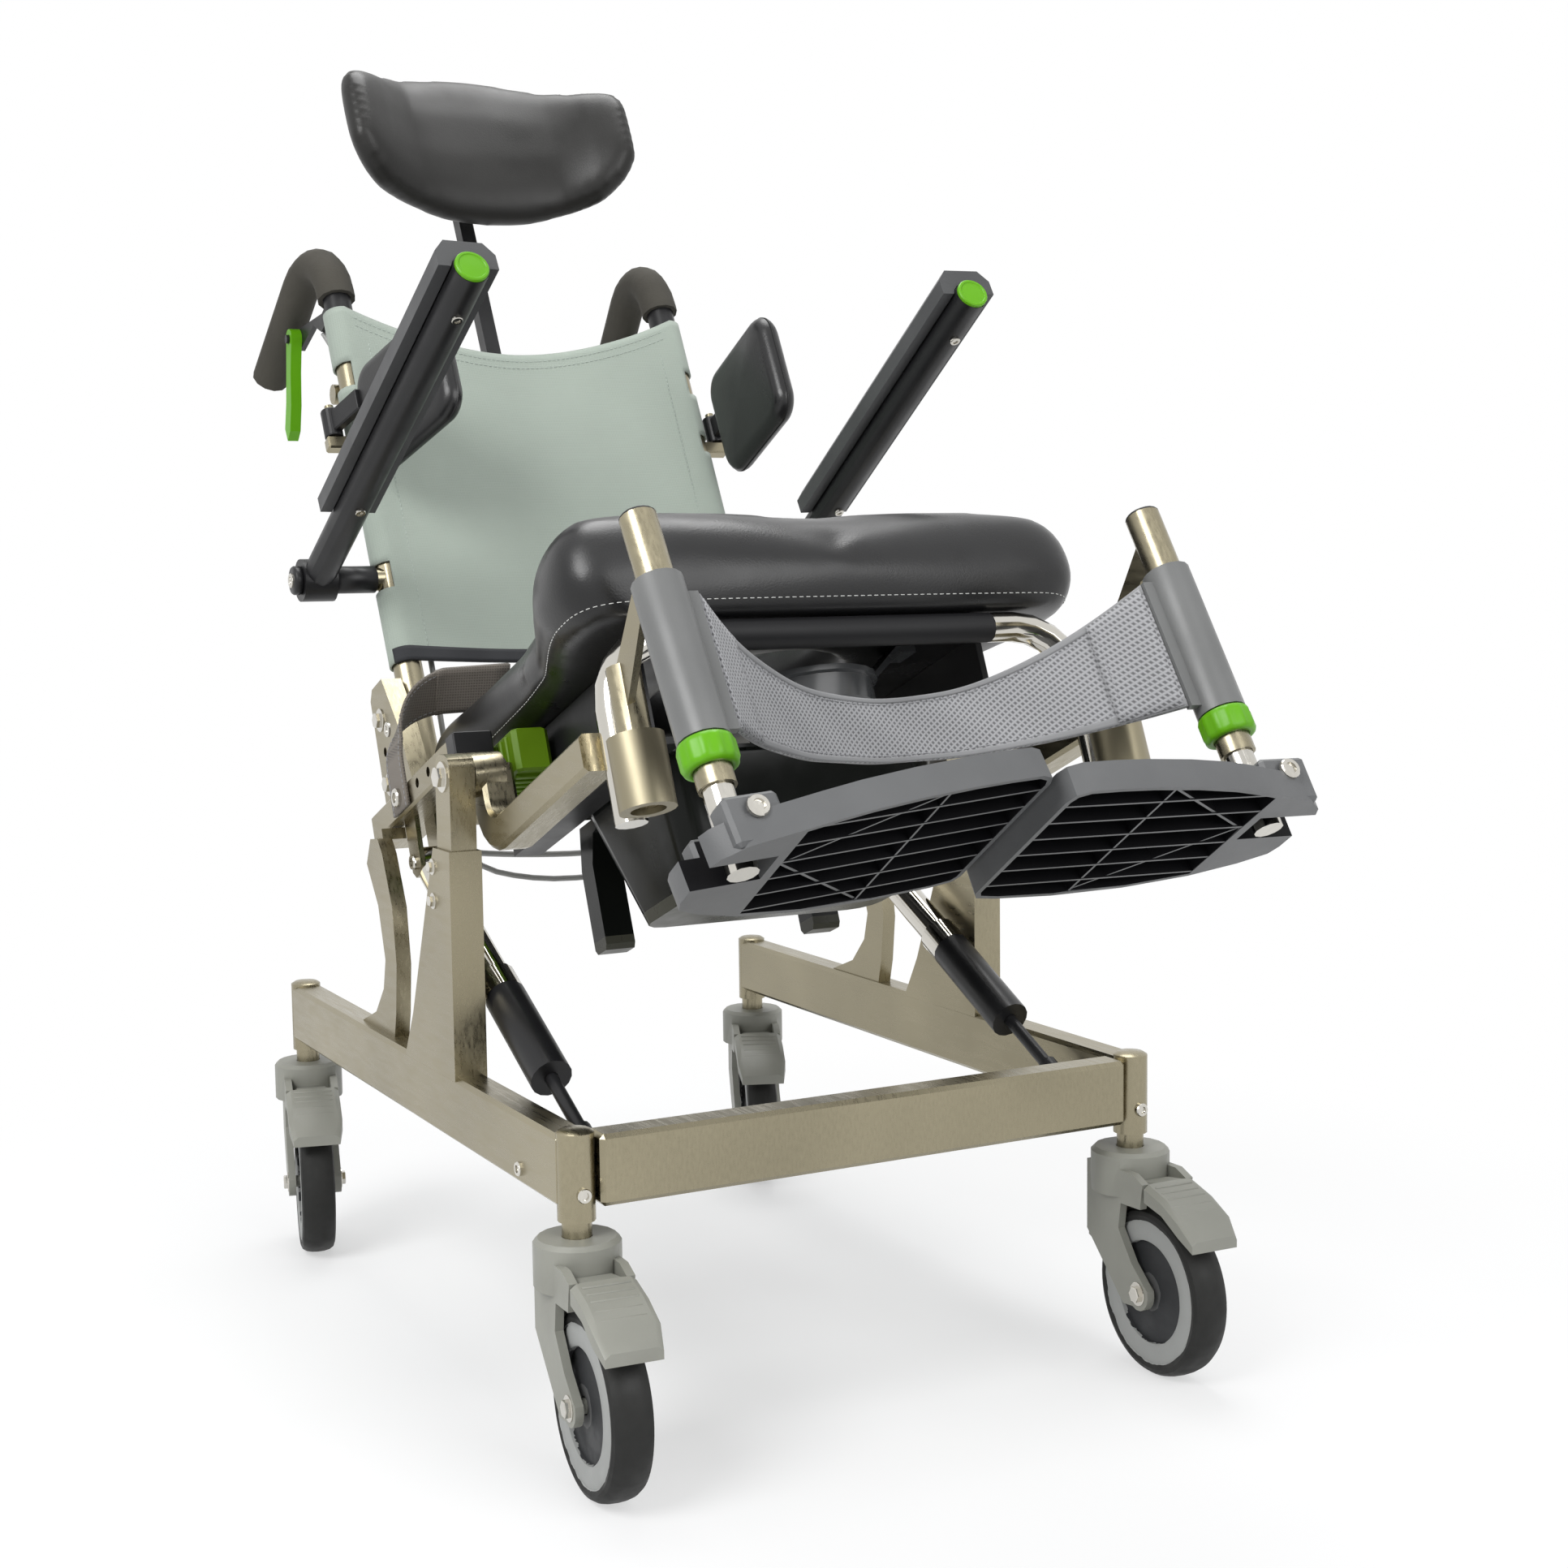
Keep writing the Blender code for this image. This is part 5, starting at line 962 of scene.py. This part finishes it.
def back_sling():
    line = sling_line()
    mesh = grid_mesh("sling", sling_rows([k / SLING_ROWS for k in range(SLING_ROWS + 1)], line))
    open_sleeve(mesh)
    sling = thicken(new_piece("sling", mesh, "sling", "seat"), SLING_SKIN)
    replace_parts(sling, "back_sling")
    hem = [(x, y) for x, y in line if abs(x) < BINDING_REACH and y < BINDING_REAR]
    shares = [k * BINDING_TALL / SLING_TALL / 4 - BINDING_BELOW for k in range(5)]
    rows = sling_rows(shares, hem)
    cloth_piece("sling_binding", rows, "binding", "seat", SLING_SKIN + BINDING_EXTRA)
    stitches = Batch()
    inner = [(x, y) for x, y in line if abs(x) < TOP_SEAM_END and y < 0]
    for below in TOP_SEAMS:
        stitches.dash(sling_rows([1.0 - below / SLING_TALL], inner, -SLING_FACE)[0], *SLING_THREAD)
    for side in (-1, 1):
        heights = [SLING_FOOT + BINDING_TALL + k * SIDE_SEAM_STEP for k in range(SIDE_SEAM_POINTS)]
        front = sling_front(SIDE_SEAM_X) - SLING_FACE
        stitches.dash([BACK @ Vector((side * SIDE_SEAM_X, front, z)) for z in heights], *SLING_THREAD)
    stitches.piece("sling_stitches", "sling_thread", "seat", "sling", True)


# Calf strap, in the seat frame
LEG_X = 0.194
LEG_TOP = Vector((0, -0.310, 0.0685))
LEG_LEAN = math.radians(11.43)
STRAP_END = 0.1692
STRAP_ANCHOR = 0.105
STRAP_TALL = 0.048
STRAP_NARROW = 0.0225
STRAP_BOW = 0.085
STRAP_DROP = 0.024
STRAP_EASE = 2.2
STRAP_RIPPLE = 0.0009
STRAP_SKIN = 0.0026
STRAP_FACE = STRAP_SKIN * 0.62
STRAP_COLUMNS = 72
STRAP_ROWS = 16
STRAP_EDGE_EXTRA = 0.0012
STRAP_EDGE_INSETS = (0, 0.048, 0.096, 0.144)
STRAP_SEAM = 0.80
TAB_START = 0.80
TAB_END = 0.985
TAB_HALF = 0.97
TAB_SEAM = 0.02
TAB_SKIN = 0.0022
TAB_COLUMNS = 10
TAB_ROWS = 12
TAB_SEAM_POINTS = 20


def leg_at(side, distance):
    """Point on a leg tube's line in the seat frame."""
    return Vector((LEG_X * side, LEG_TOP.y - distance * math.sin(LEG_LEAN),
                   LEG_TOP.z - distance * math.cos(LEG_LEAN)))


def strap_point(t, v, lift=0.0):
    """Point of the strap: t runs from side to side, v over its height, both from -1 to 1; lift is forward."""
    anchor = leg_at(1, STRAP_ANCHOR)
    down = (leg_at(1, 1.0) - leg_at(1, 0.0)).normalized()
    ease = 1 - abs(t) ** STRAP_EASE
    hang = (down * abs(t) - UP * (1 - abs(t))).normalized()
    half = STRAP_TALL - (STRAP_TALL - STRAP_NARROW) * ease
    centre = Vector((STRAP_END * t, anchor.y + STRAP_BOW * ease - lift, anchor.z - STRAP_DROP * ease))
    ripple = STRAP_RIPPLE * math.sin(17 * t + 3 * v) * (1 - t * t)
    return SEAT @ (centre - hang * half * v + Vector((0, ripple, 0)))


def spread(count):
    """Even steps from -1 to 1."""
    return [2 * k / count - 1 for k in range(count + 1)]


def calf_strap():
    body, slot = "legrests", "mesh_fabric"
    along = spread(STRAP_COLUMNS)
    rows = [[strap_point(t, v) for v in spread(STRAP_ROWS)] for t in along]
    strap = cloth_piece("strap", rows, "mesh_fabric", body, STRAP_SKIN)
    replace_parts(strap, "calf_strap")
    for tag, edge in (("top", 1), ("foot", -1)):
        rows = [[strap_point(t, edge * (1 - inset)) for inset in STRAP_EDGE_INSETS] for t in along]
        cloth_piece(f"strap_binding_{tag}", rows, "strap_edge", body, STRAP_SKIN + STRAP_EDGE_EXTRA)
    stitches = Batch()
    for v in (STRAP_SEAM, -STRAP_SEAM):
        stitches.dash([strap_point(t, v, STRAP_FACE) for t in along], *STRAP_THREAD)
    for name, side in SIDES:
        tab = [side * (TAB_START + (TAB_END - TAB_START) * k / TAB_COLUMNS) for k in range(TAB_COLUMNS + 1)]
        rows = [[strap_point(t, TAB_HALF * v, STRAP_SKIN) for v in spread(TAB_ROWS)] for t in tab]
        cloth_piece(f"strap_tab_{name}", rows, "mesh_fabric", body, TAB_SKIN)
        seam = side * (TAB_START + TAB_SEAM)
        line = [strap_point(seam, v, STRAP_FACE + STRAP_SKIN) for v in spread(TAB_SEAM_POINTS)[1:-1]]
        stitches.dash(line, *STRAP_THREAD)
    stitches.piece("strap_stitches", "strap_thread", body, slot, True)


# Left half of the hip belt, in the seat frame
BELT_Y = 0.150
BELT_HALF = 0.019
BELT_SKIN = 0.0022
BELT_OUT = 0.2158
BELT_FOOT = 0.0185
BELT_OVER = 0.1045
BELT_SLOPE = 0.002
BELT_END = 0.110
BELT_BEND = 0.050
BELT_BEND_SHARE = 0.62
BELT_BEND_STEPS = 16
BELT_TWIST = math.radians(-55)
BELT_TWIST_START = 0.25
BELT_RAISE = 0.014
BELT_FINE = 4
BELT_COLUMNS = 8
BELT_SEAM = 0.82
BELT_FACE = BELT_SKIN * 0.6
BELT_FOLD_ROWS = 10
BELT_FOLD_SKIN = BELT_SKIN * 2.2


def belt_path():
    """Section of the belt: up from its anchor on the left seat bar and over the cushion's edge."""
    foot = Vector((BELT_OUT, BELT_FOOT))
    corner = Vector((BELT_OUT, BELT_OVER - BELT_SLOPE))
    tip = Vector((BELT_END, BELT_OVER))
    reach = min(BELT_BEND, (corner - foot).length * BELT_BEND_SHARE, (tip - corner).length * BELT_BEND_SHARE)
    start = corner + (foot - corner).normalized() * reach
    end = corner + (tip - corner).normalized() * reach
    bend = []
    for k in range(BELT_BEND_STEPS + 1):
        s = k / BELT_BEND_STEPS
        bend.append(start * (1 - s) ** 2 + corner * 2 * s * (1 - s) + end * s * s)
    coarse = [foot, *bend, tip]
    fine = [a.lerp(b, k / BELT_FINE) for a, b in zip(coarse, coarse[1:]) for k in range(BELT_FINE)]
    return fine + [tip]


def belt_rows(path, shares, lift=0.0):
    """Rows over the belt, which turns on edge towards its free end as it leans on the cushion."""
    rows = []
    for k, spot in enumerate(path):
        ahead = path[min(k + 1, len(path) - 1)] - path[max(k - 1, 0)]
        along = Vector((-ahead.x, 0, ahead.y)).normalized()
        share = max(k / (len(path) - 1) - BELT_TWIST_START, 0) / (1 - BELT_TWIST_START)
        wide = Matrix.Rotation(BELT_TWIST * share, 3, along) @ REARWARD
        face = along.cross(wide)
        centre = Vector((-spot.x, BELT_Y, spot.y + BELT_RAISE * share))
        rows.append([SEAT @ (centre + wide * BELT_HALF * v + face * lift) for v in shares])
    return rows


def hip_belt():
    path = belt_path()
    rows = belt_rows(path, spread(BELT_COLUMNS))
    belt = cloth_piece("belt", rows, "webbing", "seat", BELT_SKIN)
    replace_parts(belt, "hip_belt")
    stitches = Batch()
    for edge in (-BELT_SEAM, BELT_SEAM):
        for lift in (-BELT_FACE, BELT_FACE):
            stitches.dash([row[0] for row in belt_rows(path, [edge], lift)], *SLING_THREAD)
    stitches.piece("belt_stitches", "strap_thread", "seat", "webbing", True)
    cloth_piece("belt_fold", rows[-BELT_FOLD_ROWS:], "webbing", "seat", BELT_FOLD_SKIN)


# Release cables, in the seat frame, mirrored for the left side
CABLE_RADIUS = 0.0025
CABLE_DROP = [(0.166, 0.3079, 0.5163), (0.158, 0.3029, 0.4951), (0.147, 0.2915, 0.4811),
              (0.139, 0.2749, 0.4645), (0.138, 0.2675, 0.4281), (0.137, 0.2574, 0.3085),
              (0.136, 0.2484, 0.1788)]
CABLE_RUNS = {
    "left": [(0.130, 0.262, 0.080), (0.118, 0.280, 0.012), (0.060, 0.290, -0.010), (-0.020, 0.282, -0.014),
             (-0.090, 0.252, -0.010), (-0.150, 0.214, -0.004), (-0.1823, 0.184, -0.004)],
    "right": [(0.130, 0.266, 0.090), (0.112, 0.268, 0.022), (0.050, 0.262, 0.004), (-0.020, 0.256, 0.000),
              (-0.090, 0.236, -0.002), (-0.150, 0.206, -0.004), (-0.1823, 0.184, -0.004)],
}
CABLE_STEPS = 4


def smooth_route(points):
    """Points of a smooth curve through a route."""
    route = [points[0] * 2 - points[1], *points, points[-1] * 2 - points[-2]]
    found = []
    for a, b, c, d in zip(route, route[1:], route[2:], route[3:]):
        for k in range(CABLE_STEPS):
            t = k / CABLE_STEPS
            found.append(0.5 * (2 * b + (c - a) * t + (2 * a - 5 * b + 4 * c - d) * t * t
                                + (3 * b - a - 3 * c + d) * t ** 3))
    return found + [points[-1]]


def release_cables():
    for name, side in SIDES:
        route = [sided(side, point) for point in CABLE_DROP + CABLE_RUNS[name]]
        path = [SEAT @ p for p in smooth_route(route)]
        line = bpy.data.curves.new(f"cable_{name}", "CURVE")
        line.dimensions = "3D"
        line.bevel_depth = CABLE_RADIUS
        line.bevel_resolution = 3
        line.use_fill_caps = True
        spline = line.splines.new("POLY")
        spline.points.add(len(path) - 1)
        for spot, place in zip(spline.points, path):
            spot.co = (*place, 1.0)
        line.materials.append(LOOKS["cable_skin"])
        piece = linked(f"cable_{name}", line)
        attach(piece, "seat")
        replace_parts(piece, f"release_cable_{name}")


# Places of bolts and screws
POST_FACE = 0.23345
NUT_FACE = 0.188
LUG_OUTER = 0.2033
LUG_INNER = 0.1827
SPRING_HEAD = (0.172, -0.018)
BRACKET_FACE = 0.190
BRACKET_HOLES = ((0.244, 0.0685), (0.244, 0.1245))
FORK_FACE = 0.0225
POST_FRONT = (0.2237, -0.3196, 0.1910)
RAIL_FACE = 0.2362
RAIL_SCREW = (RAIL_FACE, -0.2406, 0.1922)
UPRIGHT_BOLTS = ((RAIL_FACE, -0.0780, 0.3544), (RAIL_FACE, -0.0780, 0.3797))
BELT_BOLT_Z = BELT_FOOT + 0.011
BELT_EYELET_Z = 0.0860
PLATE_PIN_REACH = 0.0388

# Radius and height of their heads
PIVOT_BOLT = (0.0078, 0.0062)
PIVOT_NUT = (0.0085, 0.0065)
SPRING_SCREW = (0.0062, 0.0040)
SPRING_NUT = (0.0055, 0.0045)
BRACKET_BOLT = (0.0068, 0.0055)
FRAME_SCREW = (0.0050, 0.0030)
UPRIGHT_BOLT = (0.0042, 0.0040)
BELT_BOLT = (0.0075, 0.0038)
BELT_EYELET = (0.0060, 0.0016)
AXLE_BOLT = (0.0060, 0.0042)
KNOB_SCREW = (0.0062, 0.0022)
PLATE_SCREW = (0.0072, 0.0030)
ARM_SCREW = (0.0042, 0.0018)
LEG_PLUG = (0.0122, 0.0028)


def sided(side, point):
    """Point mirrored for the left side."""
    return Vector((point[0] * side, point[1], point[2]))


def fasteners():
    """Bolts, nuts and screws that hold the frame, on the bodies that carry them."""
    base = Batch()
    seat = Batch()
    for name, side in SIDES:
        out = ACROSS * side
        _, y, z = PINS["seat_tilt"]
        base.hex_bolt(sided(side, (POST_FACE, y, z)), out, *PIVOT_BOLT)
        base.hex_bolt(sided(side, (NUT_FACE, y, z)), -out, *PIVOT_NUT)
        _, *foot = PINS[f"spring_swing_{name}"]
        for batch, place, (y, z) in ((base, Matrix(), foot), (seat, SEAT, SPRING_HEAD)):
            batch.socket_screw(place @ sided(side, (LUG_OUTER, y, z)), out, *SPRING_SCREW)
            batch.hex_bolt(place @ sided(side, (LUG_INNER, y, z)), -out, *SPRING_NUT)
        for y, z in BRACKET_HOLES:
            seat.hex_bolt(SEAT @ sided(side, (BRACKET_FACE, y, z)), out, *BRACKET_BOLT)
        base.socket_screw(sided(side, POST_FRONT), -REARWARD, *FRAME_SCREW)
        base.socket_screw(sided(side, RAIL_SCREW), out, *FRAME_SCREW)
        for place in UPRIGHT_BOLTS:
            base.hex_bolt(sided(side, place), out, *UPRIGHT_BOLT)
    outer = -BELT_OUT - BELT_SKIN / 2
    seat.socket_screw(SEAT @ Vector((outer, BELT_Y, BELT_BOLT_Z)), -ACROSS, *BELT_BOLT)
    seat.socket_screw(SEAT @ Vector((outer, BELT_Y, BELT_EYELET_Z)), -ACROSS, *BELT_EYELET)
    base.piece("base_bolts", "chrome", "base")
    seat.piece("seat_bolts", "chrome", "seat")
    for corner in CORNERS:
        axle = Batch()
        middle, line = PINS[f"wheel_spin_{corner}"], AXES[f"wheel_spin_{corner}"]
        for way in (-1, 1):
            axle.hex_bolt(middle + line * FORK_FACE * way, line * way, *AXLE_BOLT)
        axle.piece(f"axle_bolts_{corner}", "chrome", f"caster_{corner}")


def plate_screws():
    """Socket screw on the front end of each footplate's hinge pin."""
    for name, _ in SIDES:
        way = AXES[f"footplate_flip_{name}"]
        way = way if way.y < 0 else -way
        screw = Batch()
        screw.socket_screw(PINS[f"footplate_flip_{name}"] + way * PLATE_PIN_REACH, way, *PLATE_SCREW)
        screw.piece(f"plate_screw_{name}", "chrome", f"foot_{name}")


# Casters
# Radius and height over half a wheel: hub cover, raised rim, rounded tyre
WHEEL_HALF = [(0.0062, 0.0118), (0.0125, 0.0122), (0.0300, 0.0102), (0.0372, 0.0098), (0.0378, 0.0128),
              (0.0400, 0.0140), (0.0500, 0.0140), (0.0522, 0.0130), (0.0528, 0.0134), (0.0560, 0.0142),
              (0.0590, 0.0130), (0.0612, 0.0096), (0.0622, 0.0052), (WHEEL_RADIUS, 0.0)]
WHEEL_SIDES = 72
# Rearward place and height of the tread bars on a brake pedal
PEDAL_BARS = ((-0.0545, 0.1438), (-0.0620, 0.1415), (-0.0695, 0.1392), (-0.0770, 0.1350), (-0.0845, 0.1312))
PEDAL_BAR_HALF = 0.0165
PEDAL_BAR_RADIUS = 0.0011


def wheels():
    """Smooth caster wheels for the faceted ones of the CAD."""
    profile = WHEEL_HALF + [(r, -h) for r, h in reversed(WHEEL_HALF[:-1])] + WHEEL_HALF[:1]
    for corner in CORNERS:
        name = f"wheel_{corner}"
        place = facing(PINS[f"wheel_spin_{corner}"], AXES[f"wheel_spin_{corner}"])
        batch = Batch()
        batch.rows(lathe(profile, WHEEL_SIDES, place), caps=False)
        mesh = outward(batch.mesh(name))
        mesh.set_sharp_from_angle(angle=SHARP_EDGE)
        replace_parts(new_piece(name, mesh, name, name), f"caster_wheel_{corner}")


def pedal_ribs():
    """Tread bars across each brake pedal, following its sloping top."""
    for corner in CORNERS:
        x, y, _ = PINS[f"caster_swivel_{corner}"]
        line = AXES[f"wheel_spin_{corner}"]
        place = Matrix.Translation((x, y, 0)) @ Matrix((line, UP.cross(line), UP)).transposed().to_4x4()
        bars = Batch()
        for y, z in PEDAL_BARS:
            ends = [place @ Vector((x, y, z)) for x in (-PEDAL_BAR_HALF, PEDAL_BAR_HALF)]
            bars.capsule(*ends, PEDAL_BAR_RADIUS, 8)
        bars.piece(f"pedal_ribs_{corner}", "caster_plastic", f"pedal_{corner}", smooth=True)


# Arms and plugs
ARM_TOE = 0.016
ARM_LENGTH = 0.410
CAP_RADIUS = 0.0127
# Cap's edge from the arm tube outward: step in from its radius, height
CAP_EDGE = ((0, -0.0002), (0, 0.0022), (0.0008, 0.0030), (0.0022, 0.0030), (0.0028, 0.0024))
CAP_MIDDLE = (0.001, 0.0026)
ARM_SCREW_SHARES = (0.90, 0.30)
ARM_SCREW_DROP = 0.0134
COVER_START = 0.1740
COVER_LONG = 0.0366
COVER = ((0.0102, 0), (0.0116, 0.001), (0.0116, COVER_LONG - 0.001), (0.0102, COVER_LONG), (0.0102, 0))
KNOB_START = 0.2390
KNOB_LONG = 0.0068
KNOB = ((0.0112, 0), (0.0122, 0.001), (0.0122, 0.0055), (0.0112, KNOB_LONG), (0.001, 0.0070))
KNOB_SIDES = 28
# Plug in the front end of a seat bar, in the seat frame
BAR_LOW = Vector((0.1835, 0.0165, 0.0160))
BAR_HIGH = Vector((0.2145, 0.0340, 0.0390))
BAR_CHAMFER = 0.0012


def arm_trim():
    """Lime end cap on each arm tube and two screws below the pad."""
    for name, side in SIDES:
        place = ARMS[name]
        body = f"arm_{name}"
        tip = Vector((-ARM_TOE * side, -ARM_LENGTH, 0))
        cap = Batch()
        profile = [(CAP_RADIUS - step, height) for step, height in CAP_EDGE] + [CAP_MIDDLE]
        cap.rows(lathe(profile, 32, facing(place @ tip, place.to_3x3() @ tip.normalized())))
        cap.piece(f"arm_cap_{name}", "lime", body)
        screws = Batch()
        for share in ARM_SCREW_SHARES:
            spot = place @ (tip * share - UP * ARM_SCREW_DROP)
            screws.socket_screw(spot, place.to_3x3() @ -UP, *ARM_SCREW)
        screws.piece(f"arm_screws_{name}", "chrome", body)


def pivot_covers():
    """Black covers on the arm pivots with a bright screw, and black plugs in the leg tubes and seat bars."""
    covers = Batch()
    screws = Batch()
    plugs = Batch()
    ends = Batch()
    for name, side in SIDES:
        _, y, z = PINS[f"arm_flip_{name}"]
        out = ACROSS * side
        covers.rows(lathe(COVER, KNOB_SIDES, facing(sided(side, (COVER_START, y, z)), out)), caps=False)
        covers.rows(lathe(KNOB, KNOB_SIDES, facing(sided(side, (KNOB_START, y, z)), out)))
        screws.socket_screw(sided(side, (KNOB_START + KNOB_LONG, y, z)), out, *KNOB_SCREW)
        plugs.dome(SEAT @ leg_at(side, 0.0), -LEG_DOWN, *LEG_PLUG)
        low, high = sorted((BAR_LOW.x * side, BAR_HIGH.x * side))
        ends.box(SEAT, (low, BAR_LOW.y, BAR_LOW.z), (high, BAR_HIGH.y, BAR_HIGH.z), BAR_CHAMFER)
    covers.piece("pivot_covers", "black_plastic", "seat", smooth=True)
    screws.piece("pivot_screws", "chrome", "seat")
    plugs.piece("leg_plugs", "black_plastic", "legrests", smooth=True)
    ends.piece("bar_plugs", "black_plastic", "seat")


# Seat clip and twist rings, in the seat frame
CLIP_LOW = (-0.176, -0.004, 0.0005)
CLIP_HIGH = (-0.147, 0.084, 0.0335)
CLIP_CHAMFER = 0.0035
CLIP_RIBS = 7
CLIP_RIB_START = 0.006
CLIP_RIB_PITCH = 0.0115
CLIP_RIB_WIDE = 0.0055
CLIP_RIB_CHAMFER = 0.0010
# X and Z range of the ribs on the clip's side and below it
CLIP_RIB_FACES = (((-0.1785, -0.1745), (0.0040, 0.0300)), ((-0.174, -0.149), (-0.0022, 0.0015)))
RING_START = 0.1605
RING_LONG = 0.019
RING_RADIUS = 0.0178
RING_BORE = 0.0124
RING_SIDES = 48
RING_FLUTES = 12
RING_FLUTE = 0.0007
RING_PLAIN = 0.002
# Height along the ring and growth of its radius there
RING_EDGE = ((0.0, -0.0022), (0.0012, -0.0004), (0.004, 0.0), (RING_LONG - 0.004, 0.0),
             (RING_LONG - 0.0012, -0.0006), (RING_LONG, -0.0026))


def twist_rings():
    """Lime clamping ring at the foot of each leg tube, with finger flutes."""
    turns = [math.tau * k / RING_SIDES for k in range(RING_SIDES)]
    for name, side in SIDES:
        place = facing(SEAT @ leg_at(side, RING_START), LEG_DOWN)
        rows = []
        for height, grow in RING_EDGE:
            flute = RING_FLUTE if RING_PLAIN < height < RING_LONG - RING_PLAIN else 0
            row = []
            for a in turns:
                r = RING_RADIUS + grow + flute * math.cos(RING_FLUTES * a)
                row.append(place @ Vector((r * math.cos(a), r * math.sin(a), height)))
            rows.append(row)
        bore = lathe([(RING_BORE, RING_LONG), (RING_BORE, 0.0)], RING_SIDES, place)
        ring = Batch()
        ring.rows(rows + bore + rows[:1], caps=False)
        ring.piece(f"twist_ring_{name}", "lime", "legrests", smooth=True)


def seat_clip():
    """Ribbed lime clip under the left of the cushion, hooked on the seat rail."""
    clip = Batch()
    clip.box(SEAT, CLIP_LOW, CLIP_HIGH, CLIP_CHAMFER)
    for k in range(CLIP_RIBS):
        y = CLIP_RIB_START + k * CLIP_RIB_PITCH
        for (x0, x1), (z0, z1) in CLIP_RIB_FACES:
            clip.box(SEAT, (x0, y, z0), (x1, y + CLIP_RIB_WIDE, z1), CLIP_RIB_CHAMFER)
    clip.piece("seat_clip", "clip_lime", "seat", "lime")


bpy.context.scene.view_settings.view_transform = "Standard"
add_camera()
make_looks()
dress_nodes()
release_cables()
add_studio()
seat_cushion()
headrest()
lateral_pads()
back_sling()
calf_strap()
hip_belt()
fasteners()
wheels()
pivot_covers()
plate_screws()
pedal_ribs()
arm_trim()
twist_rings()
seat_clip()
